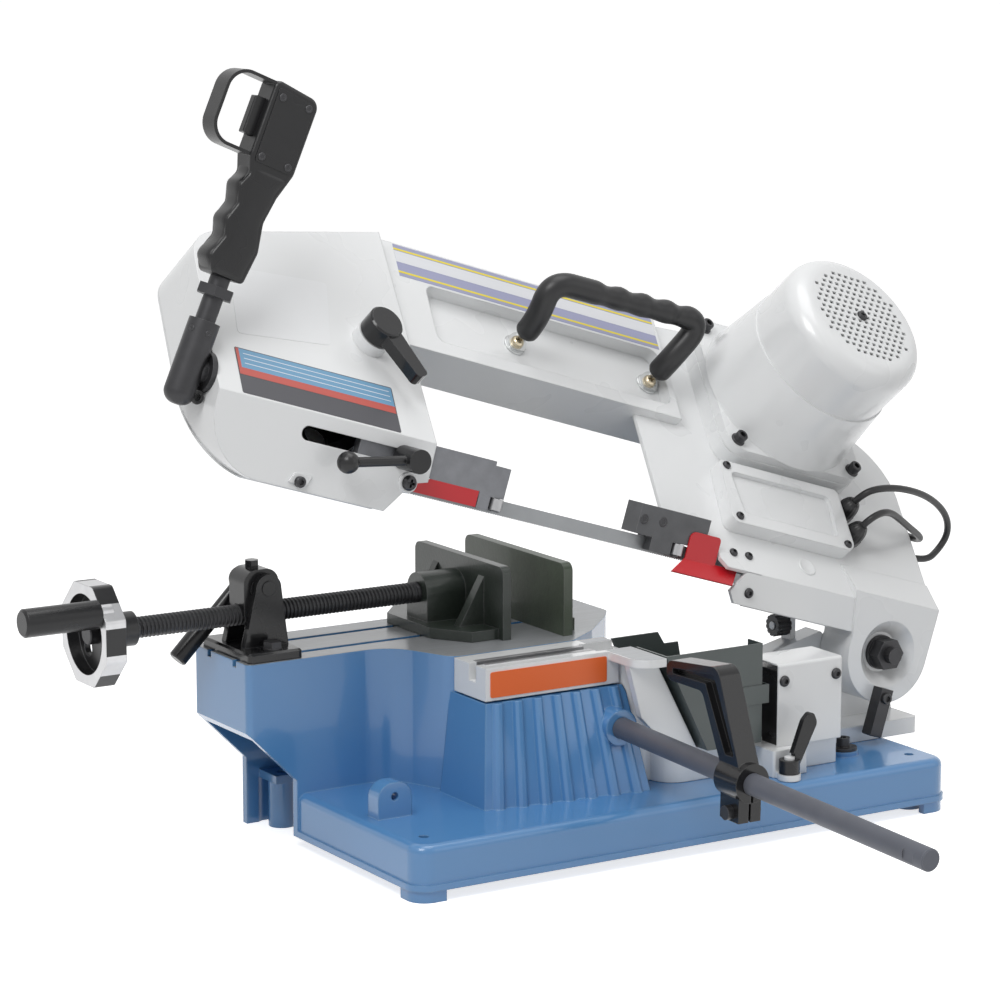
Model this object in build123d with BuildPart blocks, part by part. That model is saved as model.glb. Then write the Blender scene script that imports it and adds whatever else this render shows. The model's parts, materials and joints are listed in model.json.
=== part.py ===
import os
from math import atan2, cos, degrees, radians, sin, sqrt, tan

from build123d import *

os.makedirs("parts", exist_ok=True)

# A bench-top metal cutting band saw in millimetres. +X runs along the blade towards the motor,
# +Y runs to the back and +Z is up. The origin is the middle of the bench bolts on the bench top.
# The bow is modelled level, as if the cut were just finished, and is raised at the end.

# General fits and stock
running_clearance = 0.05
slide_clearance = 0.2
open_clearance = 0.4
seat_gap = 0.3
past = 1  # how far a cut or a sunk root runs past a face
through = 400  # long enough to cut through the whole saw
sheet = 1.5

# Base casting
plinth_length = 600
plinth_width = 330
plinth_height = 52
plinth_corner = 18
plinth_edge = 8
casting_wall = 8
bead_height = 6
bead_depth = 2
foot_height = 10.5
foot_length = 32
foot_sill = 12
bench_spacing_x = 546
bench_spacing_y = 264
bench_hole_radius = 4.5
bench_boss_radius = 13
bench_boss_sink = 2
table_height = 180
table_thickness = 12
table_front = -16
table_left = -172
table_nose = -40
table_right = 62
table_back = 160
arm_end = -350
arm_neck = -200
arm_front = 52
arm_drop = 65
arm_foot_rise = 13
arm_mouth = 20
diagonal_start = 12
diagonal_run = 45
diagonal_rise = 22
table_radii = [6, 40, 18, 4, 4, 12, 20, 12, 6]
groove_width = 7
groove_depth = 6
groove_spacing = 50
rib_count = 7
rib_profile = [(-0.26, 0), (-0.19, 3.4), (-0.08, 5), (0.08, 5), (0.19, 3.4), (0.26, 0)]
rib_foot_left = (-183, -89)
rib_foot_right = (-14, -109)
rib_top_right = -20
ribbed_drop = 33
ribbed_back = -10
hollow_neck = -150
hollow_front = -60
hollow_nose = (-70, 10)
hollow_bend = (-10, 30)
hollow_right = 95
roof_left = -152
roof_right = -68
roof_front = -70
seat_depth = 32
column_room = 2
column_recess = [(-48, -49), (48, -49), (48, -16), (20, -4), (-20, -4), (-48, -20)]
lug_x = -264
lug_back = -48
lug_width = 35
lug_thickness = 18
lug_rise = 33
lug_round = 15
lug_hole_rise = 20
lug_hole_radius = 3.75
zero_stop = (219, -98)
zero_boss_radius = 15
zero_boss_height = 5
zero_washer_radius = 13.5
zero_washer = 3
zero_head_radius = 6.5
zero_head = 9
zero_socket = 3.5
zero_socket_depth = 5

# Vise
vise_y = 103
screw_radius = 10
screw_rise = 36.5
screw_tail = 8
journal_radius = 8
journal_length = 28
fixed_face = -38
fixed_thickness = 10
fixed_front = 3
fixed_length = 179
fixed_foot = 12
fixed_foot_right = -9
fixed_foot_nose = -14
fixed_foot_front = 21
fixed_foot_shoulder = 43
fixed_foot_inset = 4
fixed_gussets = (48, 118)
gusset = 10
gusset_drop = 12
jaw_height = 70
jaw_round = 8
jaw_opening = 50
moving_thickness = 9
moving_front = 17
moving_length = 162
moving_foot = 62
moving_foot_height = 10
moving_foot_inset = 8
moving_foot_taper = 24
moving_foot_half = 40
moving_ribs = (51, 135)
moving_rib_drop = 14
moving_rib_foot = 26
boss_radius = 19
boss_start = 10
wheel_x = -479
handwheel_radius = 50
handwheel_width = 20
handwheel_rim = 13
handwheel_round = 6
handwheel_web = 6
handwheel_dish = 2
handwheel_hub = 16
handwheel_hub_length = 36
handwheel_hole = 8
handwheel_hole_place = 24
crank_reach = 39
crank_angle = 142
crank_radius = 13
crank_length = 74
crank_nose = 2
crank_edge = 1
crank_pin_radius = 5
crank_pin_short = 6
crank_boss_radius = 9
crank_boss_height = 12
bracket_x = -312
bracket_length = 56
bracket_offset = 6
bracket_width = 96
bracket_plate = 9
bracket_round = 5
bracket_edge = 2
bolt_inset = 12
bolt_offset = 4
bolt_washer_radius = 9
bolt_washer = 1.6
bolt_head = 8
bolt_head_height = 6
cheek_thickness = 8
cheek_gap = 30
cheek_top = 13
cheek_left = 26
cheek_right = 20
pin_rise = 63
pin_radius = 7
cam_radius = 11.1
cam_throw = 4
cam_swing = 60
nut_width = 36
nut_top = 17
nut_round = 13
nut_start = 0.5
nut_head = 6
nut_head_height = 7
nut_head_offset = 2
release_length = 76
release_share = 0.62
release_tail = 22
release_radius = 6
release_hub = 11
release_grip_radius = 9
turned_edge = 1.5

# Length stop
rod_x = -38
rod_radius = 10
rod_boss = 7
rod_near = -550
rod_seat = -62
rod_boss_front = -96
rod_drop = 67
rod_droop = 1.9
rod_flat = 8.5
rod_flat_start = 26
rod_flat_length = 14
rod_edge = 1.2
stop_y = -285
stop_hub_radius = 18
stop_hub_length = 34
stop_thickness = 22
stop_recess = 7
stop_recess_round = 2
stop_arm_outline = [(-14, 6), (22, 98), (100, 90), (102, 72), (46, 72), (14, 6)]
stop_arm_radii = [0, 14, 9, 8, 9, 0]
stop_arm_hollow = [(-4, 22), (28, 90), (92, 84), (92, 79), (41, 80), (10, 22)]
stop_tail_width = 24
stop_tail_height = 26
stop_tail_drop = 5
stop_tail_inset = 3
stop_split = 2.5
stop_bolt_drop = 10
stop_bolt_radius = 4
stop_bolt_head = 6.5
stop_bolt_head_height = 6
stop_bolt_nut_height = 5

# Swivel
swivel_y = -50
swivel_pin_radius = 10
swivel_pin_low = 24
swivel_pin_depth = 28
swivel_pin_edge = 1
swivel_boss_low = 20
swivel_column = 30
swivel_foot_left = 6
swivel_foot_top = 84
swivel_foot_front = -103
swivel_foot_corner = 25
swivel_back = -8
tail_left = 140
tail_right = 335
tail_front = -68
tail_height = 16
tail_round = 6
pedestal_left = 118
pedestal_right = 197
pedestal_front = -118
pedestal_back = -20
pedestal_top = 78
pedestal_round = 4
clamp_left = 108
clamp_right = 148
clamp_front = -136
clamp_back = -100
clamp_round = 3
trough_left = -172
trough_front = -73
trough_back = -18
trough_depth = 31
trough_slot = 12
trough_floor_drop = 26
trough_end = 7
trough_lap = 12
trough_mouth = 8
trough_gate_drop = 16
guide_room = 4
guide_room_drop = 20
plate_thickness = 8
plate_front = -125
plate_right = -8
plate_corner = 20
slant_front = -100
slant_thickness = 8
slant_knee = (-24, -58)
slant_foot = 30
slant_back = -24
slant_wall = 7
slant_depth = 78
slant_clear = 60
bracket_depth = 24.4
bracket_back = -5
bracket_shoulder = [(242, -22), (173, -38), (140, -68)]
bow_boss = 28
bin_right = 105
bin_front = -120
bin_back = -27
bin_slope = 0.5
bin_space = 3
bin_mouth_drop = 14
bin_mouth_right = 20
bin_mouth_half = 20
bin_side_cut = [(-98, -30), (-80, -42), (-20, -42), (-20, 1), (-98, 1)]
bin_back_cut = [(48, 1), (56, -12), (72, -12), (78, -42), (106, -42), (106, 1)]
bin_cut = 10
bin_pull_left = 82
bin_pull_drop = 58
bin_pull_height = 18
bin_pull_reach = 7
bin_pull_depth = 12
bin_pull_round = 1
panel_thickness = 0.8
panel_inset = 5
panel_right = -40
panel_low = 3
panel_high = 4
panel_round = 2
cover_left = 120
cover_right = 195
cover_front = -125
cover_back = -77
cover_drop = 22
cover_round = 3
control_inset = 4
control_front = -120
control_back = -78
control_drop = 8
lock_hub = (118, -147)
lock_hub_radius = 10
lock_hub_height = 13
lock_pad_radius = 11
lock_pad = 6
lock_pad_half = 8
lock_pad_back = -130
lock_stud_radius = 5
lock_stud = 22
lock_grip = [(-4, 62), (8, 62), (30, 104), (24, 118), (14, 108)]
lock_grip_radii = [0, 0, 8, 5, 8]
lock_grip_thickness = 6
knob_y = -12
knob_drop = 14
knob_left = 196
knob_radius = 11
knob_length = 15.5
knob_flutes = 12
knob_flute = 1.6
knob_flute_place = 11.6
knob_stud_radius = 4
knob_stud_left = 195
knob_ear_left = 212
knob_ear_right = 218
knob_ear_front = -20
knob_ear_back = -5
knob_ear_reach = 20
knob_ear_rise = 8

# Bow, level
rest_lift = 17.3
pivot_x = 290
pivot_drop = 42
shaft_radius = 12
stud_radius = 8
stud_length = 26
pivot_washer_radius = 17
pivot_washer = 4
pivot_nut_size = 14
pivot_nut_height = 14
hub_radius = 49
hub_front = -75
hub_back = -30
hub_recess = 14
hub_mouth = 33
hub_mouth_floor = 20
hub_arm_left = 47
hub_arm_rise = 32
hub_arm_neck = 228
hub_arm_slope = [(-76, 11), (-40, 37), (-40, 80), (-76, 80)]
rear_face = -22
cover_sheet = 2
housing_wall = 3
far_low = -90
far_high = 700

# Blade and wheels
blade_width = 13
blade_thickness = 0.9
blade_over_table = 5.5
wheel_radius = 90
idler_x = -398
drive_x = 238
wheel_front = 7
wheel_back = -9
wheel_rim = 12
wheel_hub = 20
web = 4
web_hole = 12
web_hole_place = 62
web_hole_count = 6
twist_left = -392
upright_left = -284
upright_right = 62
twist_right = 178
twist_steps = 4
run_top = 180
run_room = 12
run_depth = 8

# Idler housing and tension
idler_left = -497
idler_right = -265
idler_panel = 40
idler_facet = -64
idler_drop = 22
idler_top_left = 200
idler_top_right = 270
idler_top_corner = 40
idler_corner = 60
idler_lean = 14
idler_notch_line = [(-312, -30), (-284, 8), (-255, 16), (-255, -30)]
arm_mouth_back = -15
arm_mouth_rise = 46
slot_left = -407
slot_right = -290
slot_height = 13
slot_end = 0.1
tension_x = -321.5
tension_s = 123
tension_boss = 17
tension_boss_height = 12
tension_shaft = 7
tension_cam = 9
tension_throw = 3.54
tension_start = 124.4
lever_tip = (-295.5, 76.5)
lever_tail = 8
lever_hub_height = 20
lever_rise = 5
lever_thickness = 12
lever_root = 10
lever_end = 7
lever_round = 5
slide_left = -440
slide_right = -312
slide_low = 70
slide_high = 110
slide_back = 24
slide_round = 3
rail_left = -450
rail_right = -345
rail_width = 9
yoke_half = 17
yoke_root = 20
yoke_top = 20
yoke_round = 8
yoke_room = 3
yoke_mouth_round = 2
yoke_back = 26
yoke_front = 34
axle_end = -12

# Beam
beam_top = 278
beam_bottom = 150
beam_front = 25
beam_right = 60
pocket_left = -225
pocket_right = 52
pocket_low = 165
pocket_high = 234
pocket_floor = 11
pocket_round = 10
back_pocket_inset = 8
back_pocket_low = 202
back_pocket_high = 262
back_pocket_round = 5

# Drive housing and its covers
drive_left = 9
drive_right = 340
drive_panel = 15
drive_sheet = 4
drive_facet = -73
drive_drop = 29
drive_slope = (75, -17.5)
drive_step_high = 36
drive_step_low = 12
drive_ledge = -8
facet_line = [(84, -18), (92, -29), (117, -29), (117, 3), (99, 3)]
drum_left = 116
drum_wall_radius = 99
drum_top_left = 283
drum_top_right = 177
drum_corner = 75
drum_foot_corner = 6
blade_gate = 8
blade_gate_left = 80
blade_gate_back = -12
pad_x = 172
pad_s = 168
pad_corner = 24
cover_run_low = 155
cover_run_high = 240
cover_lap = 5
cover_cut_left = 226
cover_cut_high = 8
junction_left = 83
junction_right = 238
junction_low = 28
junction_high = 104
junction_front = 31
junction_slant = 5
junction_radii = [8, 12, 6, 4]
junction_face = (102, 220, 224, 98)
junction_face_low = 42
junction_face_high = 92
junction_face_depth = 5
junction_face_round = 6
junction_wall = 5
junction_space = 8

# Motor and gears
motor_x = 183
motor_s = 197
motor_base_radius = 88
motor_top_radius = 80
motor_seam = 112
motor_floor = 45
motor_bore = 70
motor_shield = 6
flange_half_x = 85
flange_half_s = 83
flange_thickness = 10
flange_corner = 22
motor_bolt_x = 73
motor_bolt_s = 71
motor_bolt = 6
motor_bolt_head = 8
motor_shaft_radius = 7
motor_shaft_end = 4
core_radius = 45
core_low = 54
core_high = 98
core_gap = 1
fan_low = 122
fan_high = 140
fan_radius = 60
fan_disc = 3
fan_hub = 16
fan_blades = 8
fan_blade = 2.5
fan_blade_root = 12
fan_sheet = 2
fan_cover_radius = 78.5
fan_cover_top = 177
fan_cover_round = 20
grille_rows = 9
grille_pitch = 8
grille_step = 7
grille_radius = 56
grille_width = 4.6
grille_height = 3.4
gear_module = 1.5
motor_teeth = 14
middle_teeth = 64
middle_pinion_teeth = 15
drive_teeth = 68
root_share = 0.3
tip_share = 0.1
root_depth = 1.875
tip_height = 1.35
fast_gear_low = 9.6
fast_gear_high = 12.8
slow_gear_low = -3.6
slow_gear_high = 2.4
middle_shaft_radius = 5
middle_shaft_seat = 8
drive_axle_radius = 8
drive_axle_collar = 12
drive_axle_collar_height = 3
gear_plate_low = 7.6
gear_plate_high = 9
gear_plate_hole = 7
gear_room = 13.4
gear_room_gap = 3.2
pinion_hole = 13.5

# Guides and guards
guide_depth = 24
guide_low = 0.5
guide_rise = 42
guide_roof_rise = 13.4
guide_slot = 3
guide_slot_low = 0.6
left_head = (-210, -183)
left_roller_x = -188
right_head = (-32, 50)
right_cheek = -12
right_roller_x = 22
roller_radius = 6.5
roller_pin_radius = 2.5
roller_cap = 2
roller_cap_height = 1.4
cheek_room = 3
arm_bar_height = 30
arm_bar_thickness = 8.8
arm_bar_left = -345
arm_bar_right = -200
arm_bar_lift = 2
lock_x = -300
lock_rise = 29
lock_screw = 5
lock_collar = 11
lock_collar_length = 30
lock_bar_radius = 4.5
lock_bar_front = 20
lock_ball_x = -366
lock_ball_rise = 13
lock_ball_radius = 10
guard_rise = 1
guard_room = 2
left_guard_right = -211
left_guard_top = -264
left_guard_bend = -284
left_guard_left = -287
left_guard_rise = 7
right_guard_left = 30
right_guard_right = 66
right_guard_rise = 27
right_guard_radii = [0, 0, 4, 7]
flange_reach = 19
flange_left = -22
flange_right = 28
flange_right_low = 16

# Handles, cables and switch grip
carry_left = (-120, 201)
carry_right = (39, 198)
carry_left_top = (-124, 219)
carry_right_top = (60, 224)
carry_low = 30
carry_neck = 50
carry_high = 88
carry_bend = 24
carry_radius = 11
carry_rod = 6
carry_washer_radius = 9
carry_washer = 5
stop_bar_half = 7
stop_bar_depth = 14
stop_bar_low = 57
stop_bar_drop = 33
stop_bar_edge = 1
cable_radius = 3.5
gland_radius = 7.5
gland_hex = 9.5
gland_hex_height = 8
gland_space = 11
gland_x = junction_right + gland_space
cable_routes = {
    "motor_cable_upper": [(gland_x, 87, 38), (gland_x, 87, 54), (265, 90, 64), (295, 97, 64), (332, 105, 56),
                          (364, 109, 44), (388, 108, 30), (400, 102, 14), (396, 92, 0), (380, 78, -8),
                          (358, 78, -8)],
    "motor_cable_lower": [(gland_x, 57, 38), (gland_x, 57, 50), (262, 64, 57), (280, 71, 53), (302, 75, 43),
                          (326, 79, 31), (348, 84, 20), (364, 91, 8), (369, 100, -3), (360, 108, -9),
                          (347, 108, -9)]}
bush_radius = 6.5
bend_share = 0.45
post_x = -520
post_y = -36
post_rise = 25
post_lean = 6
post_radius = 9
elbow_radius = 14
elbow_height = 76
elbow_rise = 58
elbow_round = 12
elbow_arm = 11
elbow_flange_radius = 18
elbow_flange = 5
lock_nut_size = 15
lock_nut_drop = 18
lock_nut_height = 9
grip_low = 116
grip_thickness = 28
grip_edge = 3
grip_right = [(16, 0), (20, 30), (15, 56), (19, 80), (27, 104), (27, 172)]
grip_left = [(-20, 176), (-20, 108), (-14, 92), (-20, 80), (-15, 64), (-21, 48), (-16, 34), (-24, 14),
             (-16, 0)]
grip_rounds = [4, 12, 14, 12, 14, 10, 6, 10, 7, 6, 7, 7, 7, 8, 5]
loop_x = -32
loop_u = 256
loop_reach = 62
loop_height = 68
loop_width = 22
loop_sheet = 3
loop_root = 12
loop_round = 20
trigger_x = -20
trigger_length = 20
trigger_height = 34
trigger_thickness = 10
trigger_round = 2
trigger_room = 24
trigger_room_x = -16

# Heights that follow the table
ribbed_top = table_height - ribbed_drop
rod_height = table_height - rod_drop
trough_bottom = table_height - trough_depth
trough_floor = table_height - trough_floor_drop
guide_room_low = table_height - guide_room_drop
bin_mouth_low = table_height - bin_mouth_drop
bin_pull_low = table_height - bin_pull_drop
bin_pull_high = bin_pull_low + bin_pull_height
cover_top = table_height - cover_drop
control_top = cover_top - control_drop
knob_z = table_height - knob_drop
pivot_z = table_height - pivot_drop
hub_arm_top = table_height + hub_arm_rise
idler_bottom = table_height - idler_drop
arm_mouth_top = table_height + arm_mouth_rise
drive_bottom = table_height - drive_drop
guide_bottom = table_height + guide_low
guide_top = table_height + guide_rise
guide_roof = table_height + guide_roof_rise
lock_z = table_height + lock_rise
lock_ball_z = table_height + lock_ball_rise
guard_low = table_height + guard_rise
right_guard_high = guard_low + right_guard_rise
post_base = table_height + post_rise
elbow_z = table_height + elbow_rise

# Planes and places worked out from the values above
root_half = sqrt(0.5)
screw_z = table_height + screw_rise
pin_z = table_height + pin_rise
blade_z = table_height + blade_over_table
bow_plane = Plane((0, swivel_y, blade_z), x_dir=(1, 0, 0), z_dir=(0, -1, 1))
pivot_axis = Axis((pivot_x, 0, pivot_z), (0, 1, 0))
rod_plane = Plane((rod_x, rod_seat, rod_height), x_dir=(1, 0, 0),
                  z_dir=(0, -cos(radians(rod_droop)), -sin(radians(rod_droop))))


def front(y):
    """The plane that faces the front at a depth y, drawn in X and Z."""
    return Plane((0, y, 0), x_dir=(1, 0, 0), z_dir=(0, -1, 0))


def across(x):
    """The plane across the saw at x, drawn in Y and Z."""
    return Plane((x, 0, 0), x_dir=(0, 1, 0), z_dir=(1, 0, 0))


def tilted(s, h):
    """Y and Z of a point on the bow's tilted frame: s up the wheel's plane, h out of it."""
    return swivel_y + root_half * (s - h), blade_z + root_half * (s + h)


def bow_point(x, s, h):
    """A point given on the bow's tilted frame."""
    return (x, *tilted(s, h))


def corners(left, right, low, high):
    """The four corners of a rectangle, from its lower left."""
    return [(left, low), (right, low), (right, high), (left, high)]


def at_table(points):
    """Points whose second value is measured from the table's top."""
    return [(along_line, table_height + rise) for along_line, rise in points]


def plate(plane, outline, depth, radii=0, mode=Mode.ADD):
    """A flat piece on a plane: its outline, how deep it is, and how round its corners are."""
    with BuildSketch(plane) as flat:
        with BuildLine():
            FilletPolyline(outline, radius=radii, close=True)
        make_face()
    extrude(flat.sketch, amount=depth, mode=mode)


def post(plane, radius, depth, spots=((0, 0),), mode=Mode.ADD):
    """Round posts or holes that stand on a plane."""
    with BuildSketch(plane) as flat:
        with Locations(*spots):
            Circle(radius)
    extrude(flat.sketch, amount=depth, mode=mode)


def hexagon(plane, size, depth, spot, across_flats=True, mode=Mode.ADD):
    """A six-sided head or socket on a plane."""
    with BuildSketch(plane) as flat:
        with Locations(spot):
            RegularPolygon(size, 6, major_radius=not across_flats)
    extrude(flat.sketch, amount=depth, mode=mode)


def block(x, y, z, mode=Mode.ADD):
    """A rectangular block between two values along each axis."""
    with Locations(((x[0] + x[1]) / 2, (y[0] + y[1]) / 2, (z[0] + z[1]) / 2)):
        Box(x[1] - x[0], y[1] - y[0], z[1] - z[0], mode=mode)


def rod(start, end, radius, mode=Mode.ADD):
    """A round bar from one point to another."""
    way = Vector(*end) - Vector(*start)
    post(Plane(start, z_dir=way), radius, way.length, mode=mode)


def keep(piece, node, lift=0.0):
    """Name a finished piece, raise it with the bow where it belongs there, and write it."""
    if lift:
        piece.part = piece.part.rotate(pivot_axis, lift)
    piece.part.label = node
    export_step(piece.part, f"parts/{node}.step")


# Base casting: hollow plinth on four feet, hollow vise arm under the table, ribbed front
inner_length = plinth_length - 2 * bead_depth
inner_width = plinth_width - 2 * bead_depth
plinth_end = plinth_length / 2
plinth_side = plinth_width / 2
arm_bottom = table_height - arm_drop
diagonal_end = diagonal_start + diagonal_run
bench_spots = [(bench_spacing_x * a / 2, bench_spacing_y * b / 2) for a in (-1, 1) for b in (-1, 1)]
bench_left = -bench_spacing_x / 2
bench_back = bench_spacing_y / 2
rod_boss_length = rod_seat - rod_boss_front
table_outline = [
    (arm_end, arm_front), (arm_neck, arm_front), (table_left, table_front), (table_nose, table_front),
    (0, diagonal_start), (diagonal_run, diagonal_end), (table_right, diagonal_end + diagonal_rise),
    (table_right, table_back), (arm_end, table_back)]
hollow_outline = [
    (arm_end + casting_wall, arm_front + casting_wall), (hollow_neck, arm_front + casting_wall),
    (hollow_neck, hollow_front), (hollow_nose[0], hollow_front), hollow_nose, hollow_bend,
    (table_right - casting_wall, hollow_right), (table_right - casting_wall, table_back - casting_wall),
    (arm_end + casting_wall, table_back - casting_wall)]


def ribbed_edge(start, end):
    """The corrugated front line of the base between two corners, with a rounded rib at each step."""
    points = [start]
    for number in range(rib_count):
        for offset, bump in rib_profile:
            share = (number + 0.6 + offset) / (rib_count + 0.2)
            points.append((start[0] + share * (end[0] - start[0]),
                           start[1] + share * (end[1] - start[1]) - bump))
    points.append(end)
    return points


def ribbed_section(height, start, end):
    """The ribbed front's cross-section at a height, closed behind the ribs."""
    with BuildSketch(Plane.XY.offset(height), mode=Mode.PRIVATE) as section:
        Polygon(*ribbed_edge(start, end), (end[0], ribbed_back), (start[0], ribbed_back), align=None)
    return section.sketch


with BuildPart() as base_casting:
    with BuildSketch():
        RectangleRounded(inner_length, inner_width, plinth_corner)
    extrude(amount=plinth_height)
    fillet(base_casting.faces().sort_by(Axis.Z)[-1].edges(), plinth_edge)
    with BuildSketch(Plane.XY.offset(foot_height)):
        RectangleRounded(plinth_length, plinth_width, plinth_corner + bead_depth)
    extrude(amount=bead_height)
    plate(Plane.XY, table_outline, table_height, table_radii)
    plate(front(table_back + past),
          [(arm_end - past, -past), (-plinth_end, -past), (-plinth_end, plinth_height + arm_foot_rise),
           (arm_end - past, arm_bottom + past)], through, 0, Mode.SUBTRACT)
    loft([ribbed_section(plinth_height - past, rib_foot_left, rib_foot_right),
          ribbed_section(ribbed_top, (table_left, trough_front), (rib_top_right, trough_front))], ruled=True)
    # The hollow below the table and the plinth, open at the vise end
    with BuildSketch():
        RectangleRounded(inner_length - 2 * casting_wall, inner_width - 2 * casting_wall,
                         plinth_corner - casting_wall)
    extrude(amount=plinth_height - casting_wall, mode=Mode.SUBTRACT)
    plate(Plane.XY, hollow_outline, table_height - table_thickness, 0, Mode.SUBTRACT)
    plate(Plane.XY.offset(ribbed_top - casting_wall), corners(roof_left, roof_right, roof_front, table_front),
          casting_wall)
    block((-plinth_end - past, -plinth_end + arm_mouth),
          (arm_front + casting_wall, table_back - casting_wall), (-past, arm_bottom - casting_wall),
          Mode.SUBTRACT)
    block((bench_left - bench_boss_radius, bench_left + bench_boss_radius),
          (bench_back - bench_boss_radius, table_back - past), (plinth_height - casting_wall, plinth_height))
    post(Plane.XY, bench_boss_radius, plinth_height - bench_boss_sink, bench_spots)
    post(Plane.XY, bench_hole_radius, plinth_height + past, bench_spots, Mode.SUBTRACT)
    for side in (-1, 1):
        block((-plinth_end + foot_length, plinth_end - foot_length),
              sorted((side * plinth_side, side * (plinth_side - foot_sill))), (-past, foot_height),
              Mode.SUBTRACT)
        block(sorted((side * plinth_end, side * (plinth_end - foot_sill))),
              (-plinth_side + foot_length, plinth_side - foot_length), (-past, foot_height), Mode.SUBTRACT)
    # Swivel seat, room for the swivel's column, rod boss, lifting lug, zero stop boss and jaw grooves
    post(Plane.XY.offset(swivel_boss_low), 2 * swivel_pin_radius, seat_depth, [(0, swivel_y)])
    post(Plane.XY.offset(swivel_boss_low - past), swivel_pin_radius + running_clearance, plinth_height,
         [(0, swivel_y)], Mode.SUBTRACT)
    post(rod_plane, rod_radius + rod_boss, rod_boss_length)
    post(Plane.XY.offset(plinth_height), swivel_column + column_room, table_height, [(0, swivel_y)],
         Mode.SUBTRACT)
    plate(Plane.XY.offset(plinth_height), column_recess, table_height, 0, Mode.SUBTRACT)
    post(rod_plane, rod_radius + running_clearance, rod_boss_length + past, mode=Mode.SUBTRACT)
    plate(front(lug_back), corners(lug_x - lug_width / 2, lug_x + lug_width / 2, plinth_height - past,
                                   plinth_height + lug_rise), lug_thickness, [0, 0, lug_round, lug_round])
    post(front(lug_back + past), lug_hole_radius, lug_thickness + 2 * past,
         [(lug_x, plinth_height + lug_hole_rise)], Mode.SUBTRACT)
    post(Plane.XY.offset(plinth_height - past), zero_boss_radius, zero_boss_height + past, [zero_stop])
    for groove_y in (vise_y - groove_spacing / 2, vise_y + groove_spacing / 2):
        block((arm_end - past, fixed_face), (groove_y - groove_width / 2, groove_y + groove_width / 2),
              (table_height - groove_depth, table_height + past), Mode.SUBTRACT)
keep(base_casting, "base_casting")

# Fixed jaw: an upright plate with a foot and two gussets at the back
jaw_top = table_height + jaw_height
fixed_back = fixed_face + fixed_thickness
with BuildPart() as fixed_jaw:
    plate(across(fixed_face), corners(fixed_front, fixed_front + fixed_length, table_height, jaw_top),
          fixed_thickness, [0, 0, jaw_round, jaw_round])
    plate(Plane.XY.offset(table_height),
          [(fixed_face, fixed_foot_front), (fixed_foot_nose, fixed_foot_front),
           (fixed_foot_right, fixed_foot_shoulder), (fixed_foot_right, table_back - fixed_foot_inset),
           (fixed_face, table_back - fixed_foot_inset)], fixed_foot)
    for gusset_y in fixed_gussets:
        plate(front(gusset_y + gusset),
              [(fixed_back, table_height + fixed_foot), (fixed_foot_right, table_height + fixed_foot),
               (fixed_back, jaw_top - gusset_drop)], gusset)
keep(fixed_jaw, "fixed_jaw")

# Screw bracket: base plate with two A-shaped cheeks that carry the release pin
bracket_low = bracket_x - bracket_length / 2 - bracket_offset
bracket_side = bracket_width / 2
bracket_top = table_height + bracket_plate
with BuildPart() as screw_bracket:
    plate(Plane.XY.offset(table_height), corners(bracket_low, bracket_low + bracket_length,
                                                 vise_y - bracket_side, vise_y + bracket_side),
          bracket_plate, bracket_round)
    chamfer(screw_bracket.faces().sort_by(Axis.Z)[-1].edges(), bracket_edge)
    for cheek_y in (vise_y - cheek_gap / 2, vise_y + cheek_gap / 2 + cheek_thickness):
        with BuildSketch(front(cheek_y)):
            Polygon((bracket_x - cheek_left, bracket_top - past),
                    (bracket_x + cheek_right, bracket_top - past), (bracket_x + cheek_top, pin_z),
                    (bracket_x - cheek_top, pin_z), align=None)
            with Locations((bracket_x, pin_z)):
                Circle(cheek_top)
                Circle(pin_radius + running_clearance, mode=Mode.SUBTRACT)
        extrude(amount=cheek_thickness)
keep(screw_bracket, "screw_bracket")

# Bolts of the base: hexagon heads on washers at the bracket, and the zero stop, a socket head
# bolt on a broad washer that the swivel's foot meets at square cuts
zero_seat = plinth_height + zero_boss_height
with BuildPart() as base_bolts:
    for bolt_y in (vise_y - bracket_side + bolt_inset, vise_y + bracket_side - bolt_inset):
        bolt_spot = (bracket_x - bolt_offset, bolt_y)
        post(Plane.XY.offset(bracket_top), bolt_washer_radius, bolt_washer, [bolt_spot])
        hexagon(Plane.XY.offset(bracket_top + bolt_washer), bolt_head, bolt_head_height, bolt_spot)
    post(Plane.XY.offset(zero_seat), zero_washer_radius, zero_washer, [zero_stop])
    post(Plane.XY.offset(zero_seat + zero_washer), zero_head_radius, zero_head, [zero_stop])
    hexagon(Plane.XY.offset(zero_seat + zero_washer + zero_head), zero_socket, -zero_socket_depth, zero_stop,
            False, Mode.SUBTRACT)
keep(base_bolts, "base_bolts")

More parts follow.
